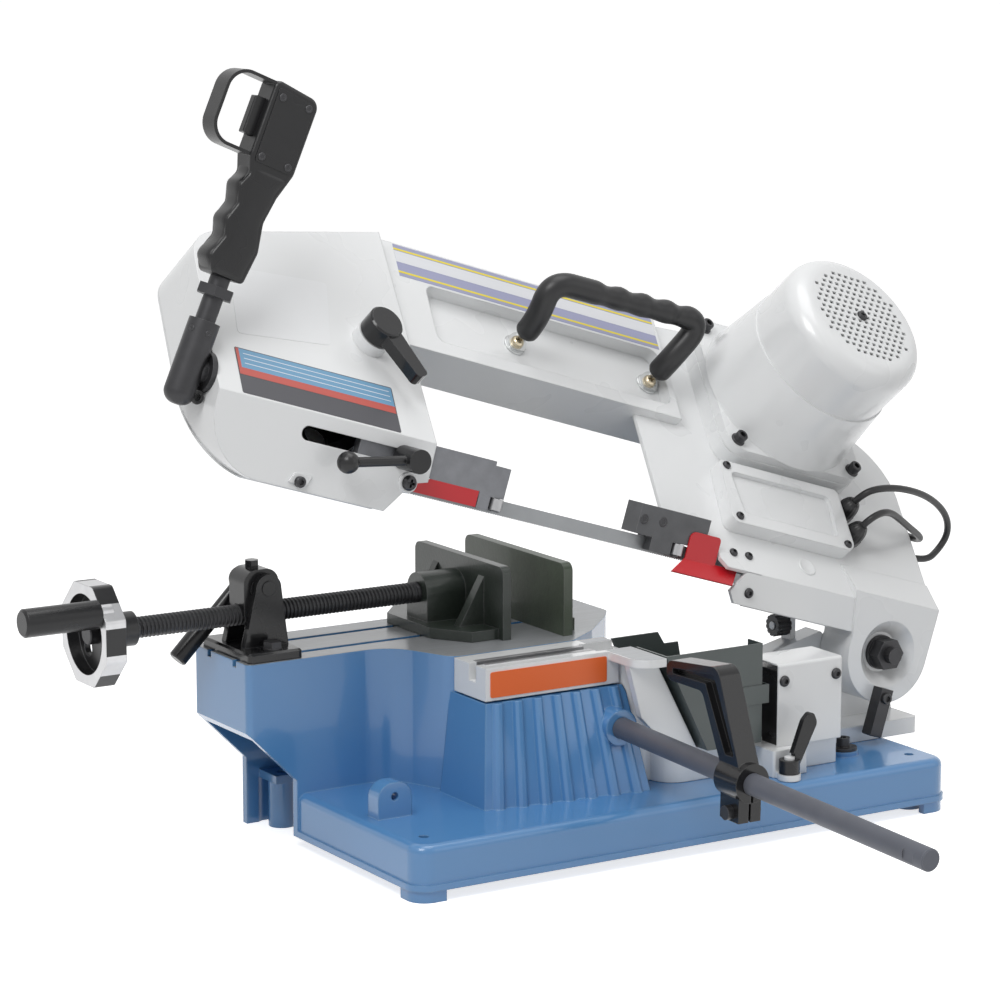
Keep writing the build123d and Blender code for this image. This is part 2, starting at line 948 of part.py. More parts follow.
# Moving jaw: plate, foot with keys in the grooves, screw boss and ribs
moving_face = fixed_face - jaw_opening
moving_back = moving_face - moving_thickness
moving_end = moving_front + moving_length
foot_back = moving_face - moving_foot
foot_low = table_height + slide_clearance
foot_top = foot_low + moving_foot_height
boss_x = foot_back + boss_start
with BuildPart() as moving_jaw:
    plate(across(moving_back), corners(moving_front, moving_end, foot_low, jaw_top), moving_thickness,
          [0, 0, jaw_round, jaw_round])
    plate(Plane.XY.offset(foot_low),
          [(moving_face, moving_front + moving_foot_inset), (moving_face, moving_end - moving_foot_inset),
           (foot_back + moving_foot_taper, moving_end - moving_foot_inset),
           (foot_back, vise_y + moving_foot_half), (foot_back, vise_y - moving_foot_half),
           (foot_back + moving_foot_taper, moving_front + moving_foot_inset)], moving_foot_height)
    post(across(boss_x), boss_radius, moving_back - boss_x, [(vise_y, screw_z)])
    block((boss_x, moving_back), (vise_y - boss_radius, vise_y + boss_radius), (foot_low, screw_z))
    for rib_y in moving_ribs:
        plate(front(rib_y + gusset), [(moving_back, foot_top), (moving_back, jaw_top - moving_rib_drop),
                                      (foot_back + moving_rib_foot, foot_top)], gusset)
    for groove_y in (vise_y - groove_spacing / 2, vise_y + groove_spacing / 2):
        block((foot_back, moving_face), (groove_y - groove_width / 2 + slide_clearance,
                                         groove_y + groove_width / 2 - slide_clearance),
              (table_height - groove_depth + open_clearance, foot_low + past))
    post(across(boss_x - past), journal_radius + running_clearance, journal_length + turned_edge,
         [(vise_y, screw_z)], Mode.SUBTRACT)
keep(moving_jaw, "moving_jaw")

# Vise screw: journal in the moving jaw, long threaded body, and the handwheel's seat
screw_end = boss_x - seat_gap
screw_start = wheel_x - screw_tail
with BuildPart() as vise_screw:
    post(across(screw_start), screw_radius, screw_end - screw_start, [(vise_y, screw_z)])
    post(across(screw_end), journal_radius, journal_length, [(vise_y, screw_z)])
    chamfer(vise_screw.faces().sort_by(Axis.X)[-1].edges(), turned_edge)
keep(vise_screw, "vise_screw")

# Handwheel: an eight-sided cast rim on a dished web, with its hub on the screw and the crank's pin
wheel_left = wheel_x - handwheel_width / 2
web_plane = across(wheel_x + handwheel_dish)
crank_spot = (vise_y + crank_reach * cos(radians(crank_angle)),
              screw_z + crank_reach * sin(radians(crank_angle)))
with BuildPart() as handwheel:
    with BuildSketch(across(wheel_left)):
        with Locations((vise_y, screw_z)):
            RegularPolygon(handwheel_radius, 8, rotation=22.5)
            Circle(handwheel_radius - handwheel_rim, mode=Mode.SUBTRACT)
    extrude(amount=handwheel_width)
    fillet(handwheel.edges().filter_by(Axis.X), handwheel_round)
    with BuildSketch(web_plane):
        with Locations((vise_y, screw_z)):
            Circle(handwheel_radius - handwheel_rim + past)
            Circle(screw_radius, mode=Mode.SUBTRACT)
            with PolarLocations(handwheel_hole_place, 4, 45):
                Circle(handwheel_hole, mode=Mode.SUBTRACT)
    extrude(amount=handwheel_web)
    with BuildSketch(web_plane):
        with Locations((vise_y, screw_z)):
            Circle(handwheel_hub)
            Circle(screw_radius, mode=Mode.SUBTRACT)
    extrude(amount=handwheel_hub_length)
    post(across(wheel_left + crank_boss_height), crank_boss_radius, -crank_boss_height, [crank_spot])
    post(across(wheel_left), crank_pin_radius, crank_pin_short - crank_length, [crank_spot])
keep(handwheel, "handwheel")

# Crank handle: a turned grip that spins on the handwheel's pin
with BuildPart() as crank_handle:
    post(across(wheel_left - seat_gap), crank_radius, -crank_length, [crank_spot])
    chamfer(crank_handle.faces().sort_by(Axis.X)[0].edges(), crank_nose)
    chamfer(crank_handle.faces().sort_by(Axis.X)[-1].edges(), crank_edge)
    post(across(wheel_left), crank_pin_radius + running_clearance, crank_pin_short - past - crank_length,
         [crank_spot], Mode.SUBTRACT)
keep(crank_handle, "crank_handle")

# Half nut: hangs on the eccentric between the cheeks and embraces the upper half of the screw
cam_rest = radians(180 + cam_swing / 2)
cam_x = bracket_x + cam_throw * cos(cam_rest)
cam_z = pin_z + cam_throw * sin(cam_rest)
cam_sway = 2 * cam_throw * (1 - cos(radians(cam_swing / 2)))
nut_back = vise_y + cheek_gap / 2 - seat_gap
with BuildPart() as half_nut:
    plate(front(nut_back), corners(cam_x - nut_width / 2, cam_x + nut_width / 2, screw_z + nut_start,
                                   pin_z + nut_top), cheek_gap - 2 * seat_gap, [0, 0, nut_round, nut_round])
    with BuildSketch(front(nut_back)):
        with Locations((cam_x, cam_z)):
            SlotCenterToCenter(cam_sway + open_clearance, 2 * (cam_radius + seat_gap))
    extrude(amount=cheek_gap, mode=Mode.SUBTRACT)
    post(across(cam_x - nut_width), screw_radius + seat_gap, 2 * nut_width, [(vise_y, screw_z)],
         Mode.SUBTRACT)
    hexagon(Plane.XY.offset(pin_z + nut_top), nut_head, nut_head_height, (cam_x - nut_head_offset, vise_y))
keep(half_nut, "half_nut")

# Release lever: pin through both cheeks, eccentric in the half nut, bar to the grip at the back
cheek_reach = cheek_gap / 2 + cheek_thickness + past
lever_y = vise_y + cheek_reach + release_radius


def release_point(reach):
    """A point on the release lever's bar, which points down to the left."""
    return (bracket_x - root_half * reach, lever_y, pin_z - root_half * reach)


with BuildPart() as release_lever:
    post(front(lever_y), pin_radius, lever_y - vise_y + cheek_reach, [(bracket_x, pin_z)])
    post(front(vise_y + cheek_gap / 2 - 2 * seat_gap), cam_radius, cheek_gap - 4 * seat_gap, [(cam_x, cam_z)])
    post(front(lever_y + release_radius), release_hub, 2 * release_radius, [(bracket_x, pin_z)])
    rod(release_point(0), release_point(release_length * release_share), release_radius)
keep(release_lever, "release_lever")

with BuildPart() as release_grip:
    rod(release_point(release_length * release_share), release_point(release_length + release_tail),
        release_grip_radius)
    chamfer(release_grip.faces().filter_by(GeomType.PLANE).edges(), turned_edge)
keep(release_grip, "release_grip")

# Length stop: a round bar held in the base, with spanner flats at its free end
rod_length = rod_seat - rod_near
with BuildPart() as stop_rod:
    post(rod_plane, rod_radius, rod_length)
    chamfer(stop_rod.faces().sort_by(Axis.Y)[0].edges(), rod_edge)
    for side in (-1, 1):
        with BuildSketch(rod_plane.offset(rod_length - rod_flat_start)):
            with Locations((side * (rod_flat + rod_radius / 2), 0)):
                Rectangle(rod_radius, 3 * rod_radius)
        extrude(amount=rod_flat_length, mode=Mode.SUBTRACT)
keep(stop_rod, "stop_rod")

# Stop arm: clamp hub on the bar, ribbed arm that rises and bends towards the blade, split tail
stop_travel = rod_seat - stop_y
stop_z = rod_height - stop_travel * tan(radians(rod_droop))
stop_bolt_place = (stop_y, stop_z - stop_hub_radius - stop_bolt_drop)
stop_left = rod_x - stop_thickness / 2
hub_start = stop_travel - stop_hub_length / 2


def stop_outline(points):
    """An outline of the stop arm, drawn about its hub."""
    return [(stop_y + across_arm, stop_z + rise) for across_arm, rise in points]


with BuildPart() as stop_arm:
    plate(across(stop_left), stop_outline(stop_arm_outline), stop_thickness, stop_arm_radii)
    for recess_x in (stop_left, stop_left + stop_thickness - stop_recess):
        plate(across(recess_x), stop_outline(stop_arm_hollow), stop_recess, stop_recess_round, Mode.SUBTRACT)
    post(rod_plane.offset(hub_start), stop_hub_radius, stop_hub_length)
    with BuildSketch(rod_plane.offset(hub_start + stop_tail_inset)):
        with Locations((0, -stop_hub_radius - stop_tail_drop)):
            Rectangle(stop_tail_width, stop_tail_height)
    extrude(amount=stop_hub_length - 2 * stop_tail_inset)
    with BuildSketch(rod_plane.offset(stop_travel - stop_hub_length)):
        Circle(rod_radius + running_clearance)
        with Locations((0, -stop_hub_radius - stop_bolt_drop)):
            Rectangle(stop_split, 2 * stop_hub_radius + stop_bolt_drop)
    extrude(amount=2 * stop_hub_length, mode=Mode.SUBTRACT)
    post(across(rod_x - stop_thickness), stop_bolt_radius + running_clearance, 2 * stop_thickness,
         [stop_bolt_place], Mode.SUBTRACT)
keep(stop_arm, "stop_arm")

# Clamp bolt of the stop arm: a socket screw across the split tail
with BuildPart() as stop_bolt:
    post(across(rod_x - stop_tail_width / 2), stop_bolt_head, -stop_bolt_head_height, [stop_bolt_place])
    post(across(rod_x - stop_tail_width / 2), stop_bolt_radius, stop_tail_width, [stop_bolt_place])
    post(across(rod_x + stop_tail_width / 2), stop_bolt_head, stop_bolt_nut_height, [stop_bolt_place])
keep(stop_bolt, "stop_bolt")

# Swivel casting: foot on the plinth, column at the pin, top plate with the blade trough,
# slanted wall beside the chip bin, pedestal for the control box and the bow's bracket
swivel_base = plinth_height + seat_gap
plate_low = table_height - plate_thickness
bin_bottom = swivel_foot_top + seat_gap
bin_left = plate_right + bin_space
bin_left_low = bin_left + (table_height - bin_bottom) * bin_slope
slant_low = bin_left_low - bin_space
guide_side = guide_depth / 2 + guide_room
with BuildPart() as swivel_casting:
    plate(Plane.XY.offset(swivel_base),
          corners(swivel_foot_left, pedestal_left, swivel_foot_front, swivel_back),
          swivel_foot_top - swivel_base, [swivel_foot_corner, 0, 0, 0])
    plate(Plane.XY.offset(swivel_base), corners(tail_left, tail_right, tail_front, swivel_back), tail_height,
          tail_round)
    plate(Plane.XY.offset(swivel_base), corners(pedestal_left, pedestal_right, pedestal_front, pedestal_back),
          pedestal_top - swivel_base, pedestal_round)
    plate(Plane.XY.offset(swivel_base), corners(clamp_left, clamp_right, clamp_front, clamp_back),
          pedestal_top - swivel_base, clamp_round)
    post(Plane.XY.offset(swivel_base), swivel_column, plate_low - swivel_base + past, [(0, swivel_y)])
    plate(Plane.XY.offset(plate_low), corners(fixed_face, plate_right, plate_front, trough_back),
          plate_thickness, [plate_corner, 0, 0, 0])
    block((trough_left, fixed_face + trough_lap), (trough_front, trough_back), (trough_bottom, table_height))
    plate(front(slant_front), [(fixed_face, plate_low + past), (plate_right, plate_low + past),
                               (slant_low, swivel_foot_top - past),
                               (bin_left_low - slant_foot, swivel_foot_top - past), *at_table([slant_knee])],
          slant_thickness)
    plate(front(slant_back), [(plate_right - slant_wall, plate_low + past), (plate_right, plate_low + past),
                              (slant_low, swivel_foot_top - past),
                              (slant_low - slant_wall, swivel_foot_top - past)], slant_depth)
    plate(front(swivel_y + slant_depth / 2),
          [(plate_right, table_height + past), (slant_low, bin_bottom - past),
           (slant_clear, bin_bottom - past), (slant_clear, table_height + past)], slant_depth, 0,
          Mode.SUBTRACT)
    block((trough_left + trough_end, plate_right + past),
          (swivel_y - trough_slot / 2, swivel_y + trough_slot / 2), (trough_floor, table_height + past),
          Mode.SUBTRACT)
    block((trough_left - past, trough_left + trough_end + past),
          (swivel_y - trough_slot / 2, swivel_y + trough_slot / 2),
          (table_height - trough_gate_drop, table_height + past), Mode.SUBTRACT)
    block((fixed_face - trough_mouth, plate_right + past), (swivel_y - guide_side, swivel_y + guide_side),
          (guide_room_low, table_height + past), Mode.SUBTRACT)
    plate(front(bracket_back), [(tail_left, swivel_base), (tail_right, swivel_base),
                                (pivot_x + bow_boss, pivot_z), (pivot_x - bow_boss, pivot_z),
                                *at_table(bracket_shoulder)], bracket_depth)
    post(front(bracket_back), bow_boss, bracket_depth, [(pivot_x, pivot_z)])
    post(front(bracket_back + past), shaft_radius + running_clearance, 2 * bracket_depth,
         [(pivot_x, pivot_z)], Mode.SUBTRACT)
    block((knob_ear_left, knob_ear_right), (knob_ear_front, knob_ear_back),
          (knob_z - knob_ear_reach, knob_z + knob_ear_rise))
    post(across(knob_stud_left), knob_stud_radius, knob_ear_left - knob_stud_left + past, [(knob_y, knob_z)])
    post(Plane.XY.offset(swivel_base), lock_pad_radius, lock_pad, [lock_hub])
    block((lock_hub[0] - lock_pad_half, lock_hub[0] + lock_pad_half), (lock_hub[1], lock_pad_back),
          (swivel_base, swivel_base + lock_pad))
    post(Plane.XY.offset(swivel_base), lock_stud_radius, lock_stud, [lock_hub])
    post(Plane.XY.offset(swivel_base - past), swivel_pin_radius + running_clearance,
         swivel_pin_depth + 2 * past, [(0, swivel_y)], Mode.SUBTRACT)
keep(swivel_casting, "swivel_casting")

# Swivel pin: fixed in the swivel's column, turning in the plinth's boss
with BuildPart() as swivel_pin:
    post(Plane.XY.offset(swivel_pin_low), swivel_pin_radius, swivel_base + swivel_pin_depth - swivel_pin_low,
         [(0, swivel_y)])
    chamfer(swivel_pin.edges(), swivel_pin_edge)
keep(swivel_pin, "swivel_pin")

# Plain coloured panel on the trough's front
with BuildPart() as trough_panel:
    plate(front(trough_front), corners(trough_left + panel_inset, panel_right, trough_bottom + panel_low,
                                       table_height - panel_high), panel_thickness, panel_round)
keep(trough_panel, "trough_panel")

# Chip bin: open sheet box with a slanted side, a pull, and cut away where the bow comes down
bin_depth = bin_back - bin_front
pull_right = bin_right + bin_pull_reach
pull_back = bin_front + bin_pull_depth
with BuildPart() as chip_bin:
    plate(front(bin_back), [(bin_left, table_height), (bin_left_low, bin_bottom), (bin_right, bin_bottom),
                            (bin_right, table_height)], bin_depth)
    plate(front(bin_back - sheet),
          [(bin_left + sheet, table_height + past), (bin_left_low + sheet, bin_bottom + sheet),
           (bin_right - sheet, bin_bottom + sheet), (bin_right - sheet, table_height + past)],
          bin_depth - 2 * sheet, 0, Mode.SUBTRACT)
    block((bin_left - past, bin_mouth_right), (swivel_y - bin_mouth_half, swivel_y + bin_mouth_half),
          (bin_mouth_low, table_height + past), Mode.SUBTRACT)
    plate(across(bin_right - bin_cut), at_table(bin_side_cut), 2 * bin_cut, 0, Mode.SUBTRACT)
    plate(front(bin_back + past), at_table(bin_back_cut), bin_cut, 0, Mode.SUBTRACT)
    plate(front(bin_front), corners(bin_pull_left, pull_right, bin_pull_low, bin_pull_high), sheet,
          bin_pull_round)
    block((pull_right - sheet, pull_right), (bin_front - sheet, pull_back), (bin_pull_low, bin_pull_high))
    block((bin_right - sheet, pull_right), (pull_back - sheet, pull_back), (bin_pull_low, bin_pull_high))
keep(chip_bin, "chip_bin")

# Control box and its sheet cover on the pedestal
with BuildPart() as control_box:
    block((cover_left + control_inset, cover_right - control_inset), (control_front, control_back),
          (pedestal_top, control_top))
    fillet(control_box.edges().filter_by(Axis.Z), cover_round)
keep(control_box, "control_box")

with BuildPart() as electric_cover:
    block((cover_left, cover_right), (cover_front, cover_back), (pedestal_top, cover_top))
    fillet(electric_cover.faces().sort_by(Axis.Y)[0].edges().sort_by(Axis.Z)[-1], cover_round)
    block((cover_left - past, cover_right - sheet), (cover_front + sheet, cover_back + past),
          (pedestal_top - past, cover_top - sheet), Mode.SUBTRACT)
keep(electric_cover, "electric_cover")

# Lock lever of the swivel, on its stud at the clamp block
lock_seat = swivel_base + lock_pad + seat_gap
with BuildPart() as lock_lever:
    post(Plane.XY.offset(lock_seat), lock_hub_radius, lock_hub_height, [lock_hub])
    plate(front(lock_hub[1] + lock_grip_thickness / 2),
          [(lock_hub[0] + reach, rise) for reach, rise in lock_grip], lock_grip_thickness, lock_grip_radii)
    post(Plane.XY.offset(swivel_base), lock_stud_radius + running_clearance, lock_stud + 3 * past, [lock_hub],
         Mode.SUBTRACT)
keep(lock_lever, "lock_lever")

# Feed knob: a fluted knob on its stud
with BuildPart() as feed_knob:
    with BuildSketch(across(knob_left)):
        with Locations((knob_y, knob_z)):
            Circle(knob_radius)
            with PolarLocations(knob_flute_place, knob_flutes):
                Circle(knob_flute, mode=Mode.SUBTRACT)
    extrude(amount=knob_length)
    post(across(knob_left - past), knob_stud_radius + running_clearance, knob_length + 2 * past,
         [(knob_y, knob_z)], Mode.SUBTRACT)
keep(feed_knob, "feed_knob")

# Bow pivot: shaft fixed in the swivel's bracket, with its washer and nut in the hub's recess
hub_floor = hub_front + hub_recess
nut_seat = hub_floor - seat_gap
with BuildPart() as pivot_shaft:
    post(front(bracket_back), shaft_radius, bracket_back - nut_seat, [(pivot_x, pivot_z)])
    post(front(hub_floor), stud_radius, stud_length, [(pivot_x, pivot_z)])
keep(pivot_shaft, "pivot_shaft")

with BuildPart() as pivot_nut:
    post(front(nut_seat), pivot_washer_radius, pivot_washer, [(pivot_x, pivot_z)])
    hexagon(front(nut_seat - pivot_washer), pivot_nut_size, pivot_nut_height, (pivot_x, pivot_z))
    post(front(hub_floor), stud_radius + running_clearance, 2 * stud_length, [(pivot_x, pivot_z)],
         Mode.SUBTRACT)
keep(pivot_nut, "pivot_nut")


def casing(facet, bottom, panel, top, back):
    """Cross-section of a wheel housing: upright front facet, tilted panel and tilted back."""
    crease = (facet - swivel_y) / root_half + panel
    heel = (bottom - blade_z) / root_half - back
    return [(facet, bottom), tilted(crease, panel), tilted(top, panel), tilted(top, back),
            (tilted(heel, back)[0], bottom)]


def housing_form(outline, outline_radii, section, front_outline, front_radii):
    """The form of a wheel housing: its outline on the tilted plane, its cross-section and its front view."""
    with BuildPart() as form:
        plate(bow_plane.offset(-through / 2), outline, through, outline_radii)
        plate(across(-2 * through), section, 4 * through, 0, Mode.INTERSECT)
        plate(front(through), front_outline, 2 * through, front_radii, Mode.INTERSECT)
    return form.part


def idler_form(inset, back):
    """The idler housing's form, drawn in by a wall thickness for its hollow."""
    left = idler_left + inset
    right = idler_right - inset
    low = idler_bottom + inset
    outline = [(left, far_low), (right, far_low), (right - idler_lean, idler_top_right - inset),
               (left, idler_top_left - inset)]
    section = casing(idler_facet + inset, low, idler_panel - inset, idler_top_right + past, back)
    return housing_form(outline, [0, 0, 0, idler_top_corner - inset], section,
                        corners(left, right, low, far_high), [idler_corner - inset, 0, 0, 0])


def idler_edge(s):
    """X of the idler housing's leaning right edge at a height s."""
    return idler_right - idler_lean * (s - far_low) / (idler_top_right - far_low)


# Idler housing: shell with an upright facet and a tilted panel, open to the rear
idler_notch = at_table(idler_notch_line)
run_low = run_top - run_room
run_high = run_top + run_room
run_back = bow_plane.offset(rear_face - past)
run_cut = run_depth - rear_face + past
slot_low = lock_z - slot_height / 2
with BuildPart() as idler_housing:
    add(idler_form(0, rear_face))
    add(idler_form(housing_wall, rear_face - past), mode=Mode.SUBTRACT)
    block((idler_right - idler_lean, idler_right + past), (idler_facet + housing_wall, arm_mouth_back),
          (idler_bottom + housing_wall, arm_mouth_top), Mode.SUBTRACT)
    plate(run_back, corners(idler_right - 2 * idler_lean, idler_right + past, run_low, run_high), run_cut, 0,
          Mode.SUBTRACT)
    plate(front(through / 2), idler_notch, through, 0, Mode.SUBTRACT)
    plate(front(idler_facet + housing_wall + past),
          corners(slot_left, slot_right, slot_low, slot_low + slot_height), housing_wall + 2 * past,
          slot_height / 2 - slot_end, Mode.SUBTRACT)
    post(bow_plane.offset(idler_panel - past), tension_boss, tension_boss_height + past,
         [(tension_x, tension_s)])
    for rail_s in (slide_low - open_clearance - rail_width, slide_high + open_clearance):
        plate(bow_plane.offset(slide_back), corners(rail_left, rail_right, rail_s, rail_s + rail_width),
              idler_panel - slide_back - past)
    post(bow_plane.offset(slide_back), tension_shaft + running_clearance, idler_panel,
         [(tension_x, tension_s)], Mode.SUBTRACT)
keep(idler_housing, "idler_housing", rest_lift)

# Beam: pocketed casting between the housings, with the return run's channel at the back
with BuildPart() as bow_beam:
    plate(bow_plane.offset(rear_face), [(idler_edge(beam_bottom), beam_bottom), (beam_right, beam_bottom),
                                        (beam_right, beam_top), (idler_edge(beam_top), beam_top)],
          beam_front - rear_face)
    plate(bow_plane.offset(beam_front), corners(pocket_left, pocket_right, pocket_low, pocket_high),
          pocket_floor - beam_front, pocket_round, Mode.SUBTRACT)
    plate(run_back, corners(idler_right - idler_lean, beam_right + past, run_low, run_high), run_cut, 0,
          Mode.SUBTRACT)
    plate(run_back, corners(idler_right + back_pocket_inset, beam_right - back_pocket_inset, back_pocket_low,
                            back_pocket_high), run_cut - past, back_pocket_round, Mode.SUBTRACT)
keep(bow_beam, "bow_beam", rest_lift)

# Place of the middle gear, in mesh with the drive wheel's gear and the motor's pinion
drive_place = (drive_x, wheel_radius)
motor_place = (motor_x, motor_s)
gear_reach = gear_module * (drive_teeth + middle_pinion_teeth) / 2
fast_reach = gear_module * (motor_teeth + middle_teeth) / 2
centre_x = motor_x - drive_x
centre_s = motor_s - wheel_radius
centre_gap = sqrt(centre_x ** 2 + centre_s ** 2)
along = (gear_reach ** 2 - fast_reach ** 2 + centre_gap ** 2) / (2 * centre_gap)
aside = sqrt(gear_reach ** 2 - along ** 2)
middle_x = drive_x + (along * centre_x + aside * centre_s) / centre_gap
middle_s = wheel_radius + (along * centre_s - aside * centre_x) / centre_gap
middle_place = (middle_x, middle_s)

# Arm of the pivot hub, sloped off below the drum
pivot_place = (pivot_x, pivot_z)
hub_depth = hub_back - hub_front
with BuildPart() as hub_arm:
    plate(front(hub_back), [(pivot_x - hub_arm_left, pivot_z), (pivot_x + hub_radius, pivot_z),
                            (pivot_x + hub_radius + past, hub_arm_top), (hub_arm_neck, hub_arm_top)],
          hub_depth)
    post(front(hub_back), hub_radius, hub_depth, [pivot_place])
    plate(across(pivot_x - through / 2), at_table(hub_arm_slope), through, 0, Mode.SUBTRACT)


def hub_section(y, radius):
    """A round section of the hub's flared mouth."""
    with BuildSketch(front(y), mode=Mode.PRIVATE) as section:
        with Locations(pivot_place):
            Circle(radius)
    return section.sketch


# Drive housing: drum round the drive wheel, thin web beside the blade, motor pad and pivot hub
web_right = drum_left + past
room_low = gear_plate_high - seat_gap
with BuildPart() as drive_housing:
    add(housing_form([(drum_left, far_low), (drive_right, far_low), (drive_right, drum_top_right),
                      (drum_left, drum_top_left)], [0, 0, drum_corner, 0],
                     casing(drive_facet, drive_bottom, drive_panel, drum_top_left + past, rear_face),
                     corners(drum_left, drive_right, drive_bottom, far_high), [0, drum_foot_corner, 0, 0]))
    plate(bow_plane.offset(rear_face), [(beam_right, beam_bottom), (web_right, beam_bottom),
                                        (web_right, drum_top_left), (beam_right, beam_top)],
          drive_panel - rear_face)
    plate(bow_plane.offset(drive_panel - drive_sheet),
          [(drive_left, beam_bottom), (drive_left, drive_step_high), (right_head[1], drive_step_high),
           (right_head[1], drive_step_low), (right_guard_right + guard_room, drive_step_low),
           (right_guard_right + guard_room, drive_ledge), drive_slope, (web_right, drive_slope[1]),
           (web_right, beam_bottom)], drive_sheet)
    plate(front(drive_facet + drive_sheet), at_table(facet_line), drive_sheet)
    plate(bow_plane.offset(drive_panel - past), corners(motor_x - pad_x / 2, motor_x + pad_x / 2,
                                                        motor_s - pad_s / 2, motor_s + pad_s / 2),
          junction_front - drive_panel + past, pad_corner)
    add(hub_arm.part)
    loft([hub_section(hub_front, hub_mouth), hub_section(hub_floor, hub_mouth_floor)], mode=Mode.SUBTRACT)
    post(front(hub_back + past), shaft_radius + running_clearance, hub_depth + 2 * past, [pivot_place],
         Mode.SUBTRACT)
    post(run_back, drum_wall_radius, gear_plate_high - rear_face + past, [drive_place], Mode.SUBTRACT)
    plate(run_back, corners(beam_right - past, drive_x, run_low, run_high), run_cut, 0, Mode.SUBTRACT)
    plate(bow_plane.offset(blade_gate_back), corners(blade_gate_left, drive_x, -blade_gate, blade_gate),
          gear_plate_high - blade_gate_back, 0, Mode.SUBTRACT)
    post(bow_plane.offset(room_low), gear_module * middle_teeth / 2 + gear_room_gap, gear_room - room_low,
         [middle_place], Mode.SUBTRACT)
    post(bow_plane.offset(room_low), pinion_hole, junction_front, [motor_place], Mode.SUBTRACT)
    post(bow_plane.offset(room_low), middle_shaft_radius + running_clearance,
         gear_room + middle_shaft_seat + past - room_low, [middle_place], Mode.SUBTRACT)
    post(bow_plane.offset(room_low), drive_axle_radius + running_clearance, junction_front, [drive_place],
         Mode.SUBTRACT)
keep(drive_housing, "drive_housing", rest_lift)

# Rear cover: one sheet over both wheels and the return run
cover_plane = bow_plane.offset(rear_face - cover_sheet)
heel_idler = (idler_bottom - blade_z) / root_half - rear_face
heel_drum = (drive_bottom - blade_z) / root_half - rear_face
with BuildPart() as blade_cover:
    plate(cover_plane, [(idler_left, heel_idler), (idler_right, heel_idler),
                        (idler_right - idler_lean, idler_top_right), (idler_left, idler_top_left)],
          cover_sheet, [0, 0, 0, idler_top_corner])
    plate(front(through / 2), idler_notch, through, 0, Mode.SUBTRACT)
    plate(front(through), corners(idler_left, idler_right, idler_bottom - cover_sheet, far_high), 2 * through,
          [idler_corner, 0, 0, 0], Mode.INTERSECT)
    plate(cover_plane, corners(idler_right - 2 * idler_lean, drum_left + cover_lap, cover_run_low,
                               cover_run_high), cover_sheet)
    plate(cover_plane, [(drum_left, heel_drum), (drive_right, heel_drum), (drive_right, drum_top_right),
                        (drum_left, drum_top_left)], cover_sheet, [0, 0, drum_corner, 0])
    plate(cover_plane.offset(-past), corners(cover_cut_left, drive_right + past, heel_drum - past,
                                             cover_cut_high), cover_sheet + 2 * past, 0, Mode.SUBTRACT)
keep(blade_cover, "blade_cover", rest_lift)

# Junction cover under the motor, with a sunk face
junction_height = junction_front - drive_panel
face_left, face_right, face_top_right, face_top_left = junction_face
with BuildPart() as junction_cover:
    plate(bow_plane.offset(drive_panel),
          [(junction_left, junction_low), (junction_right, junction_low), (junction_right, junction_high),
           (junction_left + junction_slant, junction_high)], junction_height, junction_radii)
    plate(bow_plane.offset(junction_front),
          [(face_left, junction_face_low), (face_right, junction_face_low),
           (face_top_right, junction_face_high), (face_top_left, junction_face_high)],
          -junction_face_depth, junction_face_round, Mode.SUBTRACT)
    plate(bow_plane.offset(drive_panel),
          corners(junction_left + 2 * junction_wall, junction_right - junction_wall,
                  junction_low + junction_wall, junction_high - junction_wall),
          junction_space, junction_wall, Mode.SUBTRACT)
keep(junction_cover, "junction_cover", rest_lift)

# Saw blade: a closed loop that twists upright between the guides
blade_drop = blade_thickness / 2 + seat_gap
blade_inner = wheel_radius + seat_gap
blade_outer = blade_inner + blade_thickness
twists = [(idler_x, 1), (twist_left, 1)]
for number in range(1, twist_steps + 1):
    share = number / twist_steps
    twists.append((twist_left + (upright_left - twist_left) * share, 1 - share))
for number in range(twist_steps + 1):
    share = number / twist_steps
    twists.append((upright_right + (twist_right - upright_right) * share, share))
twists.append((drive_x, 1))


def blade_section(x, share):
    """The blade's section at x: upright at share 0, square to the wheels at share 1."""
    with BuildSketch(across(x), mode=Mode.PRIVATE) as section:
        with Locations(tilted(-blade_drop * share, 0)):
            Rectangle(blade_thickness, blade_width, rotation=45 * share)
    return section.sketch


with BuildPart() as saw_blade:
    loft([blade_section(*twist) for twist in twists], ruled=True)
    for wheel_place, side in ((idler_x, 1), (drive_x, -1)):
        with BuildSketch(bow_plane.offset(-blade_width / 2)):
            with Locations((wheel_place, wheel_radius)):
                Circle(blade_outer)
                Circle(blade_inner, mode=Mode.SUBTRACT)
            with Locations((wheel_place + side * through / 2, wheel_radius)):
                Rectangle(through, through, mode=Mode.SUBTRACT)
        extrude(amount=blade_width)
    plate(bow_plane.offset(-blade_width / 2),
          corners(idler_x, drive_x, wheel_radius + blade_inner, wheel_radius + blade_outer), blade_width)
keep(saw_blade, "saw_blade", rest_lift)

